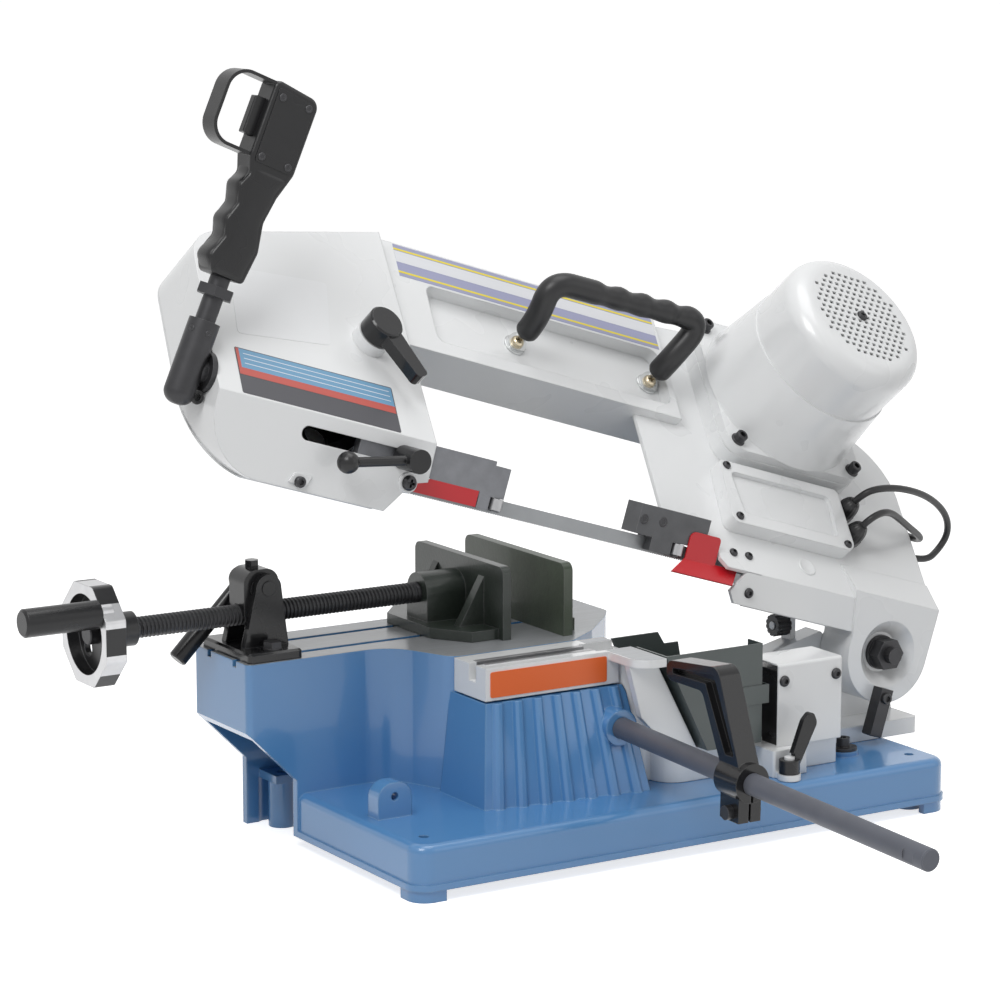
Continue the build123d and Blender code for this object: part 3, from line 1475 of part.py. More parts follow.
# Tension slide between the rails: carries the idler's axle and the yoke round the tension cam
cam_start_x = tension_x + tension_throw * cos(radians(tension_start))
cam_start_s = tension_s + tension_throw * sin(radians(tension_start))
yoke_mouth_x = tension_cam + seat_gap
yoke_mouth_s = tension_cam + yoke_room
with BuildPart() as tension_slide:
    plate(bow_plane.offset(slide_back), corners(slide_left, slide_right, slide_low, slide_high),
          idler_panel - housing_wall - seat_gap - slide_back, slide_round)
    post(bow_plane.offset(slide_back), drive_axle_radius, axle_end - slide_back, [(idler_x, wheel_radius)])
    plate(bow_plane.offset(yoke_back), corners(cam_start_x - yoke_half, cam_start_x + yoke_half,
                                               slide_high - yoke_root, cam_start_s + yoke_top),
          yoke_front - yoke_back, [0, 0, yoke_round, yoke_round])
    plate(bow_plane.offset(yoke_back - past), corners(cam_start_x - yoke_mouth_x, cam_start_x + yoke_mouth_x,
                                                      cam_start_s - yoke_mouth_s, cam_start_s + yoke_mouth_s),
          yoke_front - yoke_back + 2 * past, yoke_mouth_round, Mode.SUBTRACT)
keep(tension_slide, "tension_slide", rest_lift)


def wheel_blank(place):
    """A flanged band wheel: rim, web at the back with round holes, and hub with its bore."""
    width = wheel_front - wheel_back
    post(bow_plane.offset(wheel_back), wheel_radius, width, [place])
    post(bow_plane.offset(wheel_back + web), wheel_radius - wheel_rim, width, [place], Mode.SUBTRACT)
    post(bow_plane.offset(wheel_back), wheel_hub, width - past, [place])
    with BuildSketch(bow_plane.offset(wheel_back - past)) as holes:
        with Locations(place):
            with PolarLocations(web_hole_place, web_hole_count):
                Circle(web_hole)
    extrude(holes.sketch, amount=web + 2 * past, mode=Mode.SUBTRACT)
    post(bow_plane.offset(wheel_back - past), drive_axle_radius + running_clearance, 2 * width, [place],
         Mode.SUBTRACT)


def gear(teeth, place, phase, low, high, bore):
    """A spur gear with straight flanks, its teeth thinned for backlash."""
    pitch = gear_module * teeth / 2
    profile = ((pitch - root_depth, -root_share), (pitch + tip_height, -tip_share),
               (pitch + tip_height, tip_share), (pitch - root_depth, root_share))
    outline = []
    for number in range(teeth):
        for radius, share in profile:
            angle = radians(phase + (number + share) * 360 / teeth)
            outline.append((place[0] + radius * cos(angle), place[1] + radius * sin(angle)))
    with BuildSketch(bow_plane.offset(low)) as flat:
        Polygon(*outline, align=None)
        if bore:
            with Locations(place):
                Circle(bore, mode=Mode.SUBTRACT)
    extrude(flat.sketch, amount=high - low)


# Idler wheel
with BuildPart() as idler_wheel:
    wheel_blank((idler_x, wheel_radius))
keep(idler_wheel, "idler_wheel", rest_lift)

# Drive wheel with its gear in the dish
slow_line = degrees(atan2(middle_s - wheel_radius, middle_x - drive_x))
fast_line = degrees(atan2(middle_s - motor_s, middle_x - motor_x))
with BuildPart() as drive_wheel:
    wheel_blank(drive_place)
    gear(drive_teeth, drive_place, slow_line, slow_gear_low, slow_gear_high, wheel_hub - past)
keep(drive_wheel, "drive_wheel", rest_lift)

with BuildPart() as drive_axle:
    post(bow_plane.offset(axle_end), drive_axle_radius, drive_panel - axle_end, [drive_place])
    post(bow_plane.offset(axle_end), drive_axle_collar, -drive_axle_collar_height, [drive_place])
keep(drive_axle, "drive_axle", rest_lift)

# Middle gear and pinion on one shaft
with BuildPart() as middle_gear:
    gear(middle_pinion_teeth, middle_place, slow_line + 180 + 180 / middle_pinion_teeth, slow_gear_low,
         slow_gear_high, 0)
    gear(middle_teeth, middle_place, fast_line + 180 + 180 / middle_teeth, fast_gear_low, fast_gear_high, 0)
    post(bow_plane.offset(slow_gear_low), middle_shaft_radius, gear_room + middle_shaft_seat - slow_gear_low,
         [middle_place])
keep(middle_gear, "middle_gear", rest_lift)

# Plate between the wheel and the gear room
with BuildPart() as gear_plate:
    post(bow_plane.offset(gear_plate_low), drum_wall_radius - running_clearance,
         gear_plate_high - gear_plate_low, [drive_place])
    post(bow_plane, drive_axle_radius + running_clearance, 2 * gear_plate_high, [drive_place], Mode.SUBTRACT)
    post(bow_plane, gear_plate_hole, 2 * gear_plate_high, [middle_place], Mode.SUBTRACT)
keep(gear_plate, "gear_plate", rest_lift)


def motor_section(height, radius):
    """A round section of the tapered motor body."""
    with BuildSketch(bow_plane.offset(height), mode=Mode.PRIVATE) as section:
        with Locations(motor_place):
            Circle(radius)
    return section.sketch


# Motor: flanged and tapered body, stator ring, rotor with pinion and fan, and a grilled fan cover
flange_top = junction_front + flange_thickness
with BuildPart() as motor_body:
    plate(bow_plane.offset(junction_front), corners(motor_x - flange_half_x, motor_x + flange_half_x,
                                                    motor_s - flange_half_s, motor_s + flange_half_s),
          flange_thickness, flange_corner)
    loft([motor_section(flange_top - past, motor_base_radius), motor_section(motor_seam, motor_top_radius)])
    post(bow_plane.offset(motor_floor), motor_bore, motor_seam - motor_shield - motor_floor, [motor_place],
         Mode.SUBTRACT)
    post(bow_plane.offset(junction_front - past), motor_shaft_radius + running_clearance, motor_seam,
         [motor_place], Mode.SUBTRACT)
keep(motor_body, "motor_body", rest_lift)

with BuildPart() as stator:
    post(bow_plane.offset(core_low), motor_bore - running_clearance, core_high - core_low, [motor_place])
    post(bow_plane.offset(core_low - past), core_radius + core_gap, core_high, [motor_place], Mode.SUBTRACT)
keep(stator, "stator", rest_lift)

with BuildPart() as rotor:
    gear(motor_teeth, motor_place, fast_line, fast_gear_low, fast_gear_high, 0)
    post(bow_plane.offset(fast_gear_low), motor_shaft_radius, fan_high + motor_shaft_end - fast_gear_low,
         [motor_place])
    post(bow_plane.offset(core_low), core_radius, core_high - core_low, [motor_place])
    post(bow_plane.offset(fan_low), fan_radius, fan_disc, [motor_place])
    post(bow_plane.offset(fan_low), fan_hub, fan_high - fan_low, [motor_place])
    with BuildSketch(bow_plane.offset(fan_low)):
        with Locations(motor_place):
            with PolarLocations((fan_radius + fan_blade_root) / 2, fan_blades):
                Rectangle(fan_radius - fan_blade_root, fan_blade)
    extrude(amount=fan_high - fan_low)
keep(rotor, "rotor", rest_lift)


def dome(low, high, radius, rounding):
    """A round cap over the fan with a rounded top edge."""
    with BuildPart() as cap:
        post(bow_plane.offset(low), radius, high - low, [motor_place])
        top_edge = cap.edges().filter_by(GeomType.CIRCLE).sort_by(Axis((0, 0, 0), (0, -1, 1)))[-1]
        fillet(top_edge, rounding)
    return cap.part


grille = []
for row in range(-grille_rows, grille_rows + 1):
    for column in range(-grille_rows, grille_rows + 1):
        hole_x = (column + 0.5 * (row % 2)) * grille_pitch
        hole_s = row * grille_step
        if hole_x ** 2 + hole_s ** 2 < grille_radius ** 2:
            grille.append((motor_x + hole_x, motor_s + hole_s))
with BuildPart() as fan_cover:
    add(dome(motor_seam, fan_cover_top, fan_cover_radius, fan_cover_round))
    add(dome(motor_seam - past, fan_cover_top - fan_sheet, fan_cover_radius - fan_sheet,
             fan_cover_round - fan_sheet), mode=Mode.SUBTRACT)
    with BuildSketch(bow_plane.offset(fan_cover_top + past)):
        with Locations(*grille):
            Rectangle(grille_width, grille_height)
    extrude(amount=-fan_sheet - 2 * past, mode=Mode.SUBTRACT)
keep(fan_cover, "fan_cover", rest_lift)

with BuildPart() as motor_bolts:
    post(bow_plane.offset(flange_top), motor_bolt, motor_bolt_head,
         [(motor_x + motor_bolt_x * a, motor_s + motor_bolt_s * b) for a in (-1, 1) for b in (-1, 1)])
keep(motor_bolts, "motor_bolts", rest_lift)

# Tension lever: hub on the boss, tapered arm, shaft through the panel and the cam in the yoke
lever_reach = sqrt((lever_tip[0] - tension_x) ** 2 + (lever_tip[1] - tension_s) ** 2)
lever_x = (lever_tip[0] - tension_x) / lever_reach
lever_s = (lever_tip[1] - tension_s) / lever_reach
lever_far = lever_reach + lever_tail
lever_low = idler_panel + tension_boss_height + seat_gap
lever_outline = []
for reach, half in ((0, -lever_root), (lever_reach, -lever_end), (lever_far, -lever_end),
                    (lever_far, lever_end), (lever_reach, lever_end), (0, lever_root)):
    lever_outline.append((tension_x + lever_x * reach - lever_s * half,
                          tension_s + lever_s * reach + lever_x * half))
with BuildPart() as tension_lever:
    post(bow_plane.offset(lever_low), tension_boss, lever_hub_height, [(tension_x, tension_s)])
    chamfer(tension_lever.edges().filter_by(GeomType.CIRCLE), turned_edge)
    plate(bow_plane.offset(lever_low + lever_rise), lever_outline, lever_thickness,
          [0, 0, lever_round, lever_round, 0, 0])
    post(bow_plane.offset(yoke_front + seat_gap), tension_shaft, lever_low - yoke_front + past,
         [(tension_x, tension_s)])
    post(bow_plane.offset(yoke_back + seat_gap), tension_cam, yoke_front - yoke_back + seat_gap,
         [(cam_start_x, cam_start_s)])
keep(tension_lever, "tension_lever", rest_lift)

# Guide blocks over the blade, each with two rollers
roller_offset = blade_thickness / 2 + seat_gap + roller_radius
roller_low = guide_bottom + roller_cap_height + open_clearance
roller_height = guide_roof - open_clearance - roller_low
guide_face = swivel_y - guide_depth / 2
arm_low = lock_z + arm_bar_lift - arm_bar_height / 2
bar_front = idler_facet + housing_wall + slide_clearance


def guide_head(head, cheek, roller_x, face):
    """A guide block over the blade: slotted cheek, and two roller pins that hang under it."""
    depth = (face, swivel_y + guide_depth / 2)
    block(head, depth, (guide_roof, guide_top))
    block((cheek, roller_x - roller_radius - cheek_room), depth, (guide_bottom, guide_roof + past))
    block((head[0] - past, roller_x), (swivel_y - guide_slot / 2, swivel_y + guide_slot / 2),
          (guide_bottom - past, guide_roof - guide_slot_low), Mode.SUBTRACT)
    spots = [(roller_x, swivel_y - roller_offset), (roller_x, swivel_y + roller_offset)]
    post(Plane.XY.offset(guide_bottom), roller_pin_radius, guide_roof - guide_bottom + past, spots)
    post(Plane.XY.offset(guide_bottom), roller_pin_radius + roller_cap, roller_cap_height, spots)


with BuildPart() as guide_arm:
    guide_head(left_head, left_head[0], left_roller_x, bar_front)
    block((arm_bar_left, arm_bar_right), (bar_front, bar_front + arm_bar_thickness),
          (arm_low, arm_low + arm_bar_height))
keep(guide_arm, "guide_arm", rest_lift)

with BuildPart() as right_guide_block:
    guide_head(right_head, right_cheek, right_roller_x, guide_face)
keep(right_guide_block, "right_guide_block", rest_lift)

for place_name, roller_x in (("left", left_roller_x), ("right", right_roller_x)):
    for side_name, side in (("front", -1), ("rear", 1)):
        roller_spot = (roller_x, swivel_y + side * roller_offset)
        with BuildPart() as roller:
            post(Plane.XY.offset(roller_low), roller_radius, roller_height, [roller_spot])
            post(Plane.XY.offset(roller_low - past), roller_pin_radius + running_clearance,
                 roller_height + 2 * past, [roller_spot], Mode.SUBTRACT)
        keep(roller, f"{place_name}_{side_name}_roller", rest_lift)

# Blade guards: a flat sheet under the arm's bar, and a folded sheet on the right guide block
with BuildPart() as left_guard:
    plate(front(bar_front + sheet), [(left_guard_left, guard_low), (left_guard_right, guard_low),
                                     (left_guard_right, arm_low), (left_guard_top, arm_low),
                                     (left_guard_bend, guard_low + left_guard_rise)], sheet)
keep(left_guard, "left_guard", rest_lift)

flange_plane = Plane((0, guide_face - sheet, guard_low), x_dir=(1, 0, 0), z_dir=(0, 1, -1))
with BuildPart() as right_guard:
    plate(front(guide_face), corners(right_guard_left, right_guard_right, guard_low, right_guard_high), sheet,
          right_guard_radii)
    plate(flange_plane, [(right_guard_left, -sheet), (right_guard_right + flange_right, -sheet),
                         (right_guard_right + flange_right_low, flange_reach),
                         (right_guard_left + flange_left, flange_reach)], sheet)
keep(right_guard, "right_guard", rest_lift)

# Lock lever of the guide arm: screw through the facet's slot, collar, bar and ball
lock_front = idler_facet - seat_gap
lock_bar_y = lock_front - lock_bar_front
ball_place = (lock_ball_x, lock_bar_y, lock_ball_z)
with BuildPart() as guide_lock_lever:
    post(front(bar_front), lock_screw, bar_front - lock_front + 2 * past, [(lock_x, lock_z)])
    post(front(lock_front), lock_collar, lock_collar_length, [(lock_x, lock_z)])
    rod((lock_x, lock_bar_y, lock_z), ball_place, lock_bar_radius)
    with Locations(Plane(ball_place, z_dir=(lock_ball_x - lock_x, 0, lock_ball_z - lock_z)).location):
        Sphere(lock_ball_radius)
keep(guide_lock_lever, "guide_lock_lever", rest_lift)

# Carry handle on two rods in the beam's pocket
carry_points = [bow_point(*carry_left, carry_low), bow_point(*carry_left, carry_neck),
                bow_point(*carry_left_top, carry_high), bow_point(*carry_right_top, carry_high),
                bow_point(*carry_right, carry_neck), bow_point(*carry_right, carry_low)]
with BuildPart() as carry_handle:
    with BuildLine() as carry_line:
        FilletPolyline(*carry_points, radius=carry_bend)
    with BuildSketch(Plane(carry_line.line @ 0, z_dir=carry_line.line % 0)):
        Circle(carry_radius)
    sweep()
keep(carry_handle, "carry_handle", rest_lift)

with BuildPart() as handle_rods:
    post(bow_plane.offset(pocket_floor), carry_rod, carry_low - pocket_floor, [carry_left, carry_right])
    post(bow_plane.offset(pocket_floor), carry_washer_radius, carry_washer, [carry_left, carry_right])
keep(handle_rods, "handle_rods", rest_lift)

# Stop bar that hangs from the pivot hub
with BuildPart() as upper_stop_bar:
    block((pivot_x - stop_bar_half, pivot_x + stop_bar_half), (hub_front - stop_bar_depth, hub_front),
          (stop_bar_low, pivot_z - stop_bar_drop))
    chamfer(upper_stop_bar.faces().sort_by(Axis.Z)[0].edges(), stop_bar_edge)
keep(upper_stop_bar, "upper_stop_bar", rest_lift)

# Cable glands on the panel and bushes in the housing's end, with a cable between each pair
with BuildPart() as cable_glands:
    for route in cable_routes.values():
        gland_spot = route[0][:2]
        gland_height = route[0][2] - drive_panel
        hexagon(bow_plane.offset(drive_panel), gland_hex, gland_hex_height, gland_spot, False)
        post(bow_plane.offset(drive_panel), gland_radius, gland_height, [gland_spot])
        post(across(drive_right), bush_radius, route[-1][0] - drive_right, [tilted(*route[-1][1:])])
keep(cable_glands, "cable_glands", rest_lift)


def bends(points):
    """Bend radii of a cable's route, each as large as the two runs beside it allow."""
    radii = []
    for before, corner, after in zip(points, points[1:], points[2:]):
        back = Vector(*before) - Vector(*corner)
        ahead = Vector(*after) - Vector(*corner)
        turn = radians(180 - back.get_angle(ahead))
        radii.append(bend_share * min(back.length, ahead.length) / tan(turn / 2))
    return radii


for cable_name, route in cable_routes.items():
    route_points = [bow_point(*spot) for spot in route]
    route_radii = bends(route_points)
    print(cable_name, "bend radii:", [round(radius, 1) for radius in route_radii])
    with BuildPart() as motor_cable:
        with BuildLine() as cable_line:
            FilletPolyline(*route_points, radius=route_radii)
        with BuildSketch(Plane(cable_line.line @ 0, z_dir=cable_line.line % 0)):
            Circle(cable_radius)
        sweep(path=cable_line.line)
    keep(motor_cable, cable_name, rest_lift)

# Switch handle: elbow and post on the idler housing's end, grip with finger waves, loop and trigger
lean_x = sin(radians(post_lean))
lean_z = cos(radians(post_lean))
post_plane = Plane((post_x, post_y, post_base), x_dir=(lean_z, 0, -lean_x), z_dir=(lean_x, 0, lean_z))
grip_plane = Plane((post_x, post_y, post_base), x_dir=(lean_z, 0, -lean_x), z_dir=(0, -1, 0))
with BuildPart() as handle_elbow:
    post(post_plane, elbow_radius, elbow_height)
    fillet(handle_elbow.edges().filter_by(GeomType.CIRCLE).sort_by(Axis.Z)[0], elbow_round)
    rod((post_x, post_y, elbow_z), (idler_left, post_y, elbow_z), elbow_arm)
    post(across(idler_left), elbow_flange_radius, -elbow_flange, [(post_y, elbow_z)])
    post(post_plane.offset(elbow_height - past), post_radius, grip_low - elbow_height + past)
    hexagon(post_plane.offset(grip_low - lock_nut_drop), lock_nut_size, lock_nut_height, (0, 0))
keep(handle_elbow, "handle_elbow", rest_lift)

loop_inner = 2 * loop_sheet
with BuildPart() as switch_grip:
    plate(grip_plane.offset(-grip_thickness / 2),
          [(side, grip_low + rise) for side, rise in grip_right + grip_left], grip_thickness, grip_rounds)
    fillet(switch_grip.faces().sort_by(Axis.Y)[0].edges(), grip_edge)
    fillet(switch_grip.faces().sort_by(Axis.Y)[-1].edges(), grip_edge)
    with BuildSketch(grip_plane.offset(-loop_width / 2)):
        with Locations((loop_x, loop_u)):
            RectangleRounded(loop_reach, loop_height, loop_round)
            RectangleRounded(loop_reach - loop_inner, loop_height - loop_inner, loop_round - loop_sheet,
                             mode=Mode.SUBTRACT)
        with Locations((0, loop_u)):
            Rectangle(2 * loop_root, 2 * loop_height, mode=Mode.SUBTRACT)
    extrude(amount=loop_width)
    with BuildSketch(grip_plane.offset(-trigger_thickness / 2 - seat_gap)):
        with Locations((trigger_room_x, loop_u)):
            Rectangle(trigger_room, trigger_height + 2 * seat_gap)
    extrude(amount=trigger_thickness + 2 * seat_gap, mode=Mode.SUBTRACT)
keep(switch_grip, "switch_grip", rest_lift)

with BuildPart() as trigger:
    with BuildSketch(grip_plane.offset(-trigger_thickness / 2)):
        with Locations((trigger_x, loop_u)):
            Rectangle(trigger_length, trigger_height)
    extrude(amount=trigger_thickness)
    fillet(trigger.faces().sort_by(Axis.X)[0].edges(), trigger_round)
keep(trigger, "trigger", rest_lift)
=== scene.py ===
import json
from math import cos, pi, radians, sin, sqrt, tan

import bpy
from mathutils import Matrix, Vector


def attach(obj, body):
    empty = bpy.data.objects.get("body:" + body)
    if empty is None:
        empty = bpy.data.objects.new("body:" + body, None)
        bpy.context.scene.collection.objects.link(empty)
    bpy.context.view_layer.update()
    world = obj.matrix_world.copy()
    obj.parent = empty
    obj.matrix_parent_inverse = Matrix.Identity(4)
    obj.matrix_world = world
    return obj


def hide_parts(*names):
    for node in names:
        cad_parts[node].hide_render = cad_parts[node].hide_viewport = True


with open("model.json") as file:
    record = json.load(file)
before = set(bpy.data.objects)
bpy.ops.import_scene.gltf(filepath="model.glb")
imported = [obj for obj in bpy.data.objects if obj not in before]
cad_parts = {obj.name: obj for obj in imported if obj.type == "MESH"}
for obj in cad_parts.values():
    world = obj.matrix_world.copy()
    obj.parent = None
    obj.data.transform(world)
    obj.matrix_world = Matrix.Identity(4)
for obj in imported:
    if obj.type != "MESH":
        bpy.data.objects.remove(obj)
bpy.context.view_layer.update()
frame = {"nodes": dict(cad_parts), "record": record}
nodes = frame["nodes"]
scene = bpy.context.scene
mm = 0.001


def at(x, y, z):
    """A shift in millimetres."""
    return Matrix.Translation((x, y, z))


# The bow's own frame: X along the blade, s up the wheels' plane, h out of it, raised with the bow
pivot_x = 290
pivot_z = 138
swivel_y = -50
blade_z = 185.5
rest_lift = radians(17.3)
half = sqrt(0.5)
pivot = at(pivot_x, 0, pivot_z)
raised = pivot @ Matrix.Rotation(rest_lift, 4, "Y") @ pivot.inverted()
bow_axes = ((1, 0, 0, 0), (0, half, -half, swivel_y), (0, half, half, blade_z), (0, 0, 0, 1))
bow_frame = raised @ Matrix(bow_axes)
facing_front = Matrix(((1, 0, 0, 0), (0, 0, -1, 0), (0, 1, 0, 0), (0, 0, 0, 1)))
facing_right = Matrix(((0, 0, 1, 0), (1, 0, 0, 0), (0, 1, 0, 0), (0, 0, 0, 1)))

# Planes and places that the pieces sit on
idler_panel = 40
idler_facet = -64
beam_front = 25
pocket_floor = 11
drive_panel = 15
drive_facet = -73
drive_end = 340
junction_front = 31
motor_x = 183
motor_s = 197
motor_flange = 41
motor_bolt_x = 73
motor_bolt_s = 71
fan_top = 177
guide_front = -62
stop_bar_front = -89
cover_front = -125
table_top = 180
screw_y = 103
screw_z = 216.5

# Camera, in metres
camera_place = (-1.8042, -2.7097, 0.9053)
view_turn = radians(32)
view_drop = radians(10.4)
camera = bpy.data.cameras.new("camera")
camera.lens = 126
camera.sensor_width = 36
viewer = bpy.data.objects.new("camera", camera)
viewer.location = camera_place
gaze = Vector((sin(view_turn) * cos(view_drop), cos(view_turn) * cos(view_drop), -sin(view_drop)))
viewer.rotation_euler = gaze.to_track_quat("-Z", "Y").to_euler()
scene.collection.objects.link(viewer)
scene.camera = viewer
scene.view_settings.view_transform = "Standard"

# Values that all finishes share; sizes of clouds are their number in a metre
cloud_detail = 3
bevel_samples = 4
edge_gain = 5.0
# Patches of the edge tone: a lighter tone there is a painted highlight, a darker bare one is wear
wear_and_sheen_size = 60
wear_and_sheen_low = 0.2
wear_and_sheen_high = 1.6
gloss_size = 16
gloss_low = 0.85
gloss_high = 1.18
grain_depth = 0.3
coat_rough = 0.08


# Material helpers

def link(tree, start, end):
    """Joins an output to an input, or sets the input to a plain value."""
    if isinstance(start, (int, float)):
        end.default_value = start
    elif isinstance(start, tuple):
        end.default_value = (*start, 1) if len(end.default_value) == 4 else start
    else:
        tree.links.new(start, end)


def new_material(name):
    """A new material with its node tree and its principled shader."""
    material = bpy.data.materials.new(name)
    material.use_nodes = True
    tree = material.node_tree
    return material, tree, tree.nodes["Principled BSDF"]


def calc(tree, kind, first, second=0.0, clamp=False):
    """A maths node on two values."""
    node = tree.nodes.new("ShaderNodeMath")
    node.operation = kind
    node.use_clamp = clamp
    link(tree, first, node.inputs[0])
    link(tree, second, node.inputs[1])
    return node.outputs[0]


def vector_calc(tree, kind, first, second, output=0):
    """A vector maths node on two vectors; its output 1 is a plain value."""
    node = tree.nodes.new("ShaderNodeVectorMath")
    node.operation = kind
    link(tree, first, node.inputs[0])
    link(tree, second, node.inputs[1])
    return node.outputs[output]


def length_of(tree, vector):
    """The length of a vector."""
    return vector_calc(tree, "LENGTH", vector, (0.0, 0.0, 0.0), 1)


def split(tree, vector):
    """The x, y and z of a vector."""
    node = tree.nodes.new("ShaderNodeSeparateXYZ")
    link(tree, vector, node.inputs[0])
    return node.outputs


def mix(tree, share, first, second):
    """A colour between two colours by a share."""
    node = tree.nodes.new("ShaderNodeMix")
    node.data_type = "RGBA"
    link(tree, share, node.inputs["Factor"])
    link(tree, first, node.inputs[6])
    link(tree, second, node.inputs[7])
    return node.outputs[2]


def spread(tree, value, low, high):
    """A value from 0 to 1 spread over another range."""
    node = tree.nodes.new("ShaderNodeMapRange")
    link(tree, value, node.inputs["Value"])
    node.inputs["To Min"].default_value = low
    node.inputs["To Max"].default_value = high
    return node.outputs[0]


def object_place(tree):
    """The object coordinates, in metres of the saw's frame at rest."""
    return tree.nodes.new("ShaderNodeTexCoord").outputs["Object"]


def face_direction(tree):
    """The x, y and z of the way that a face looks."""
    return split(tree, tree.nodes.new("ShaderNodeNewGeometry").outputs["True Normal"])


def noise(tree, place, size, detail=2):
    """A cloudy value from 0 to 1, whose clouds number about size in a metre."""
    node = tree.nodes.new("ShaderNodeTexNoise")
    node.inputs["Scale"].default_value = size
    node.inputs["Detail"].default_value = detail
    link(tree, place, node.inputs["Vector"])
    return node.outputs["Fac"]


def scale_colour(colour, factor):
    """A colour made lighter or darker."""
    return tuple(min(1.0, channel * factor) for channel in colour)


def clouded(tree, place, colour, shift, size):
    """A colour in clouds of a darker and a lighter tone."""
    clouds = noise(tree, place, size, cloud_detail)
    return mix(tree, clouds, scale_colour(colour, 1 - shift), scale_colour(colour, 1 + shift))


def dress(tree, shader, place, tint, rough, edge, wear_and_sheen_tone, wear_and_sheen_amount, grain, grain_size):
    """Gives a shader cloudy gloss, rounded edges tinted with an edge tone (a lighter tone is a painted
    highlight, a darker bare one is paint rubbed through), and a fine grain.
    """
    bevel = tree.nodes.new("ShaderNodeBevel")
    bevel.samples = bevel_samples
    bevel.inputs["Radius"].default_value = edge * mm
    geometry = tree.nodes.new("ShaderNodeNewGeometry")
    bend = vector_calc(tree, "DOT_PRODUCT", bevel.outputs["Normal"], geometry.outputs["Normal"], 1)
    edges = calc(tree, "MULTIPLY", calc(tree, "SUBTRACT", 1.0, bend), edge_gain, True)
    patches = spread(tree, noise(tree, place, wear_and_sheen_size, cloud_detail), wear_and_sheen_low * wear_and_sheen_amount, wear_and_sheen_high * wear_and_sheen_amount)
    wear_and_sheen_share = calc(tree, "MULTIPLY", edges, patches, True)
    link(tree, mix(tree, wear_and_sheen_share, tint, wear_and_sheen_tone), shader.inputs["Base Color"])
    gloss = noise(tree, place, gloss_size)
    link(tree, spread(tree, gloss, rough * gloss_low, rough * gloss_high), shader.inputs["Roughness"])
    bump = tree.nodes.new("ShaderNodeBump")
    bump.inputs["Strength"].default_value = grain
    bump.inputs["Distance"].default_value = grain_depth * mm
    link(tree, noise(tree, place, grain_size), bump.inputs["Height"])
    link(tree, bevel.outputs["Normal"], bump.inputs["Normal"])
    link(tree, bump.outputs["Normal"], shader.inputs["Normal"])


def finish(name, colour, rough, metal=0.0, coat=0.0, edge=1.0, shift=0.06, cloud=12, wear_and_sheen_tone=None, wear_and_sheen_amount=0.5,
           grain=0.1, grain_size=700, specular=0.5):
    """A finish of one material: clouds of a lighter and a darker tone, gloss, an edge tone that is a painted
    highlight where lighter and rubbed paint where darker, and grain.
    """
    material, tree, shader = new_material(name)
    place = object_place(tree)
    tint = clouded(tree, place, colour, shift, cloud)
    shader.inputs["Metallic"].default_value = metal
    shader.inputs["Specular IOR Level"].default_value = specular
    shader.inputs["Coat Weight"].default_value = coat
    shader.inputs["Coat Roughness"].default_value = coat_rough
    # With no edge tone given, edges take the colour half again lighter: a painted highlight
    dress(tree, shader, place, tint, rough, edge, wear_and_sheen_tone or scale_colour(colour, 1.5), wear_and_sheen_amount, grain, grain_size)
    return material


# Colours
blue = (0.085, 0.245, 0.5)
# Lighter blue for the enamel's edges: a painted highlight
blue_edge_highlight = (0.2, 0.41, 0.64)
white = (0.79, 0.8, 0.805)
black = (0.013, 0.013, 0.014)
bare_iron = (0.36, 0.375, 0.39)
dark_bare = (0.16, 0.16, 0.165)
rim_dark = (0.55, 0.55, 0.56)
rim_bright = (0.68, 0.68, 0.69)

# Enamel, and the ground iron where a level face lies within the bare depth of the table's top
enamel_coat = 0.5
enamel_coat_rough = 0.06
bare_depth = 6.5
bare_level = 0.6
bare_metal = 0.2
grind_stretch = (8, 300, 8)
grind_size = 2
grind_dark = 0.8
grind_bright = 1.15

# Handwheel: its rim's inner radius, and how much of each sixth of the rim is a notch
rim_radius = 37.2
rim_metal = 0.75
rim_side = 0.5
notch_count = 6
notch_share = 0.5

# Fan cover: the thickness of its top, and the depths and radii of its hollow, painted black as shade
fan_wall = 1.95
fan_shaded_insides = ((0.0, 57), (21.0, 76.8))
white_coat = 0.35


def ground_casting(name, colour, edge_highlight, edge, left):
    """Glossy enamel, with the table's top beyond a place along X left as bare ground iron."""
    material, tree, shader = new_material(name)
    place = object_place(tree)
    spot = split(tree, place)
    high = calc(tree, "GREATER_THAN", spot[2], (table_top - bare_depth) * mm)
    beyond = calc(tree, "MULTIPLY", high, calc(tree, "GREATER_THAN", spot[0], left * mm))
    level = calc(tree, "GREATER_THAN", face_direction(tree)[2], bare_level)
    bare = calc(tree, "MULTIPLY", beyond, level)
    paint = clouded(tree, place, colour, shift=0.05, size=7)
    streaks = tree.nodes.new("ShaderNodeMapping")
    streaks.inputs["Scale"].default_value = grind_stretch
    link(tree, place, streaks.inputs["Vector"])
    marks = noise(tree, streaks.outputs[0], grind_size, cloud_detail)
    ground = mix(tree, marks, scale_colour(bare_iron, grind_dark), scale_colour(bare_iron, grind_bright))
    link(tree, calc(tree, "MULTIPLY", bare, bare_metal), shader.inputs["Metallic"])
    uncoated = calc(tree, "MULTIPLY", bare, enamel_coat)
    link(tree, calc(tree, "SUBTRACT", enamel_coat, uncoated), shader.inputs["Coat Weight"])
    shader.inputs["Coat Roughness"].default_value = enamel_coat_rough
    # The enamel's edges take the edge_highlight colour: a painted highlight
    dress(tree, shader, place, mix(tree, bare, paint, ground), rough=0.25, edge=edge, wear_and_sheen_tone=edge_highlight, wear_and_sheen_amount=0.4,
          grain=0.04, grain_size=200)
    return material


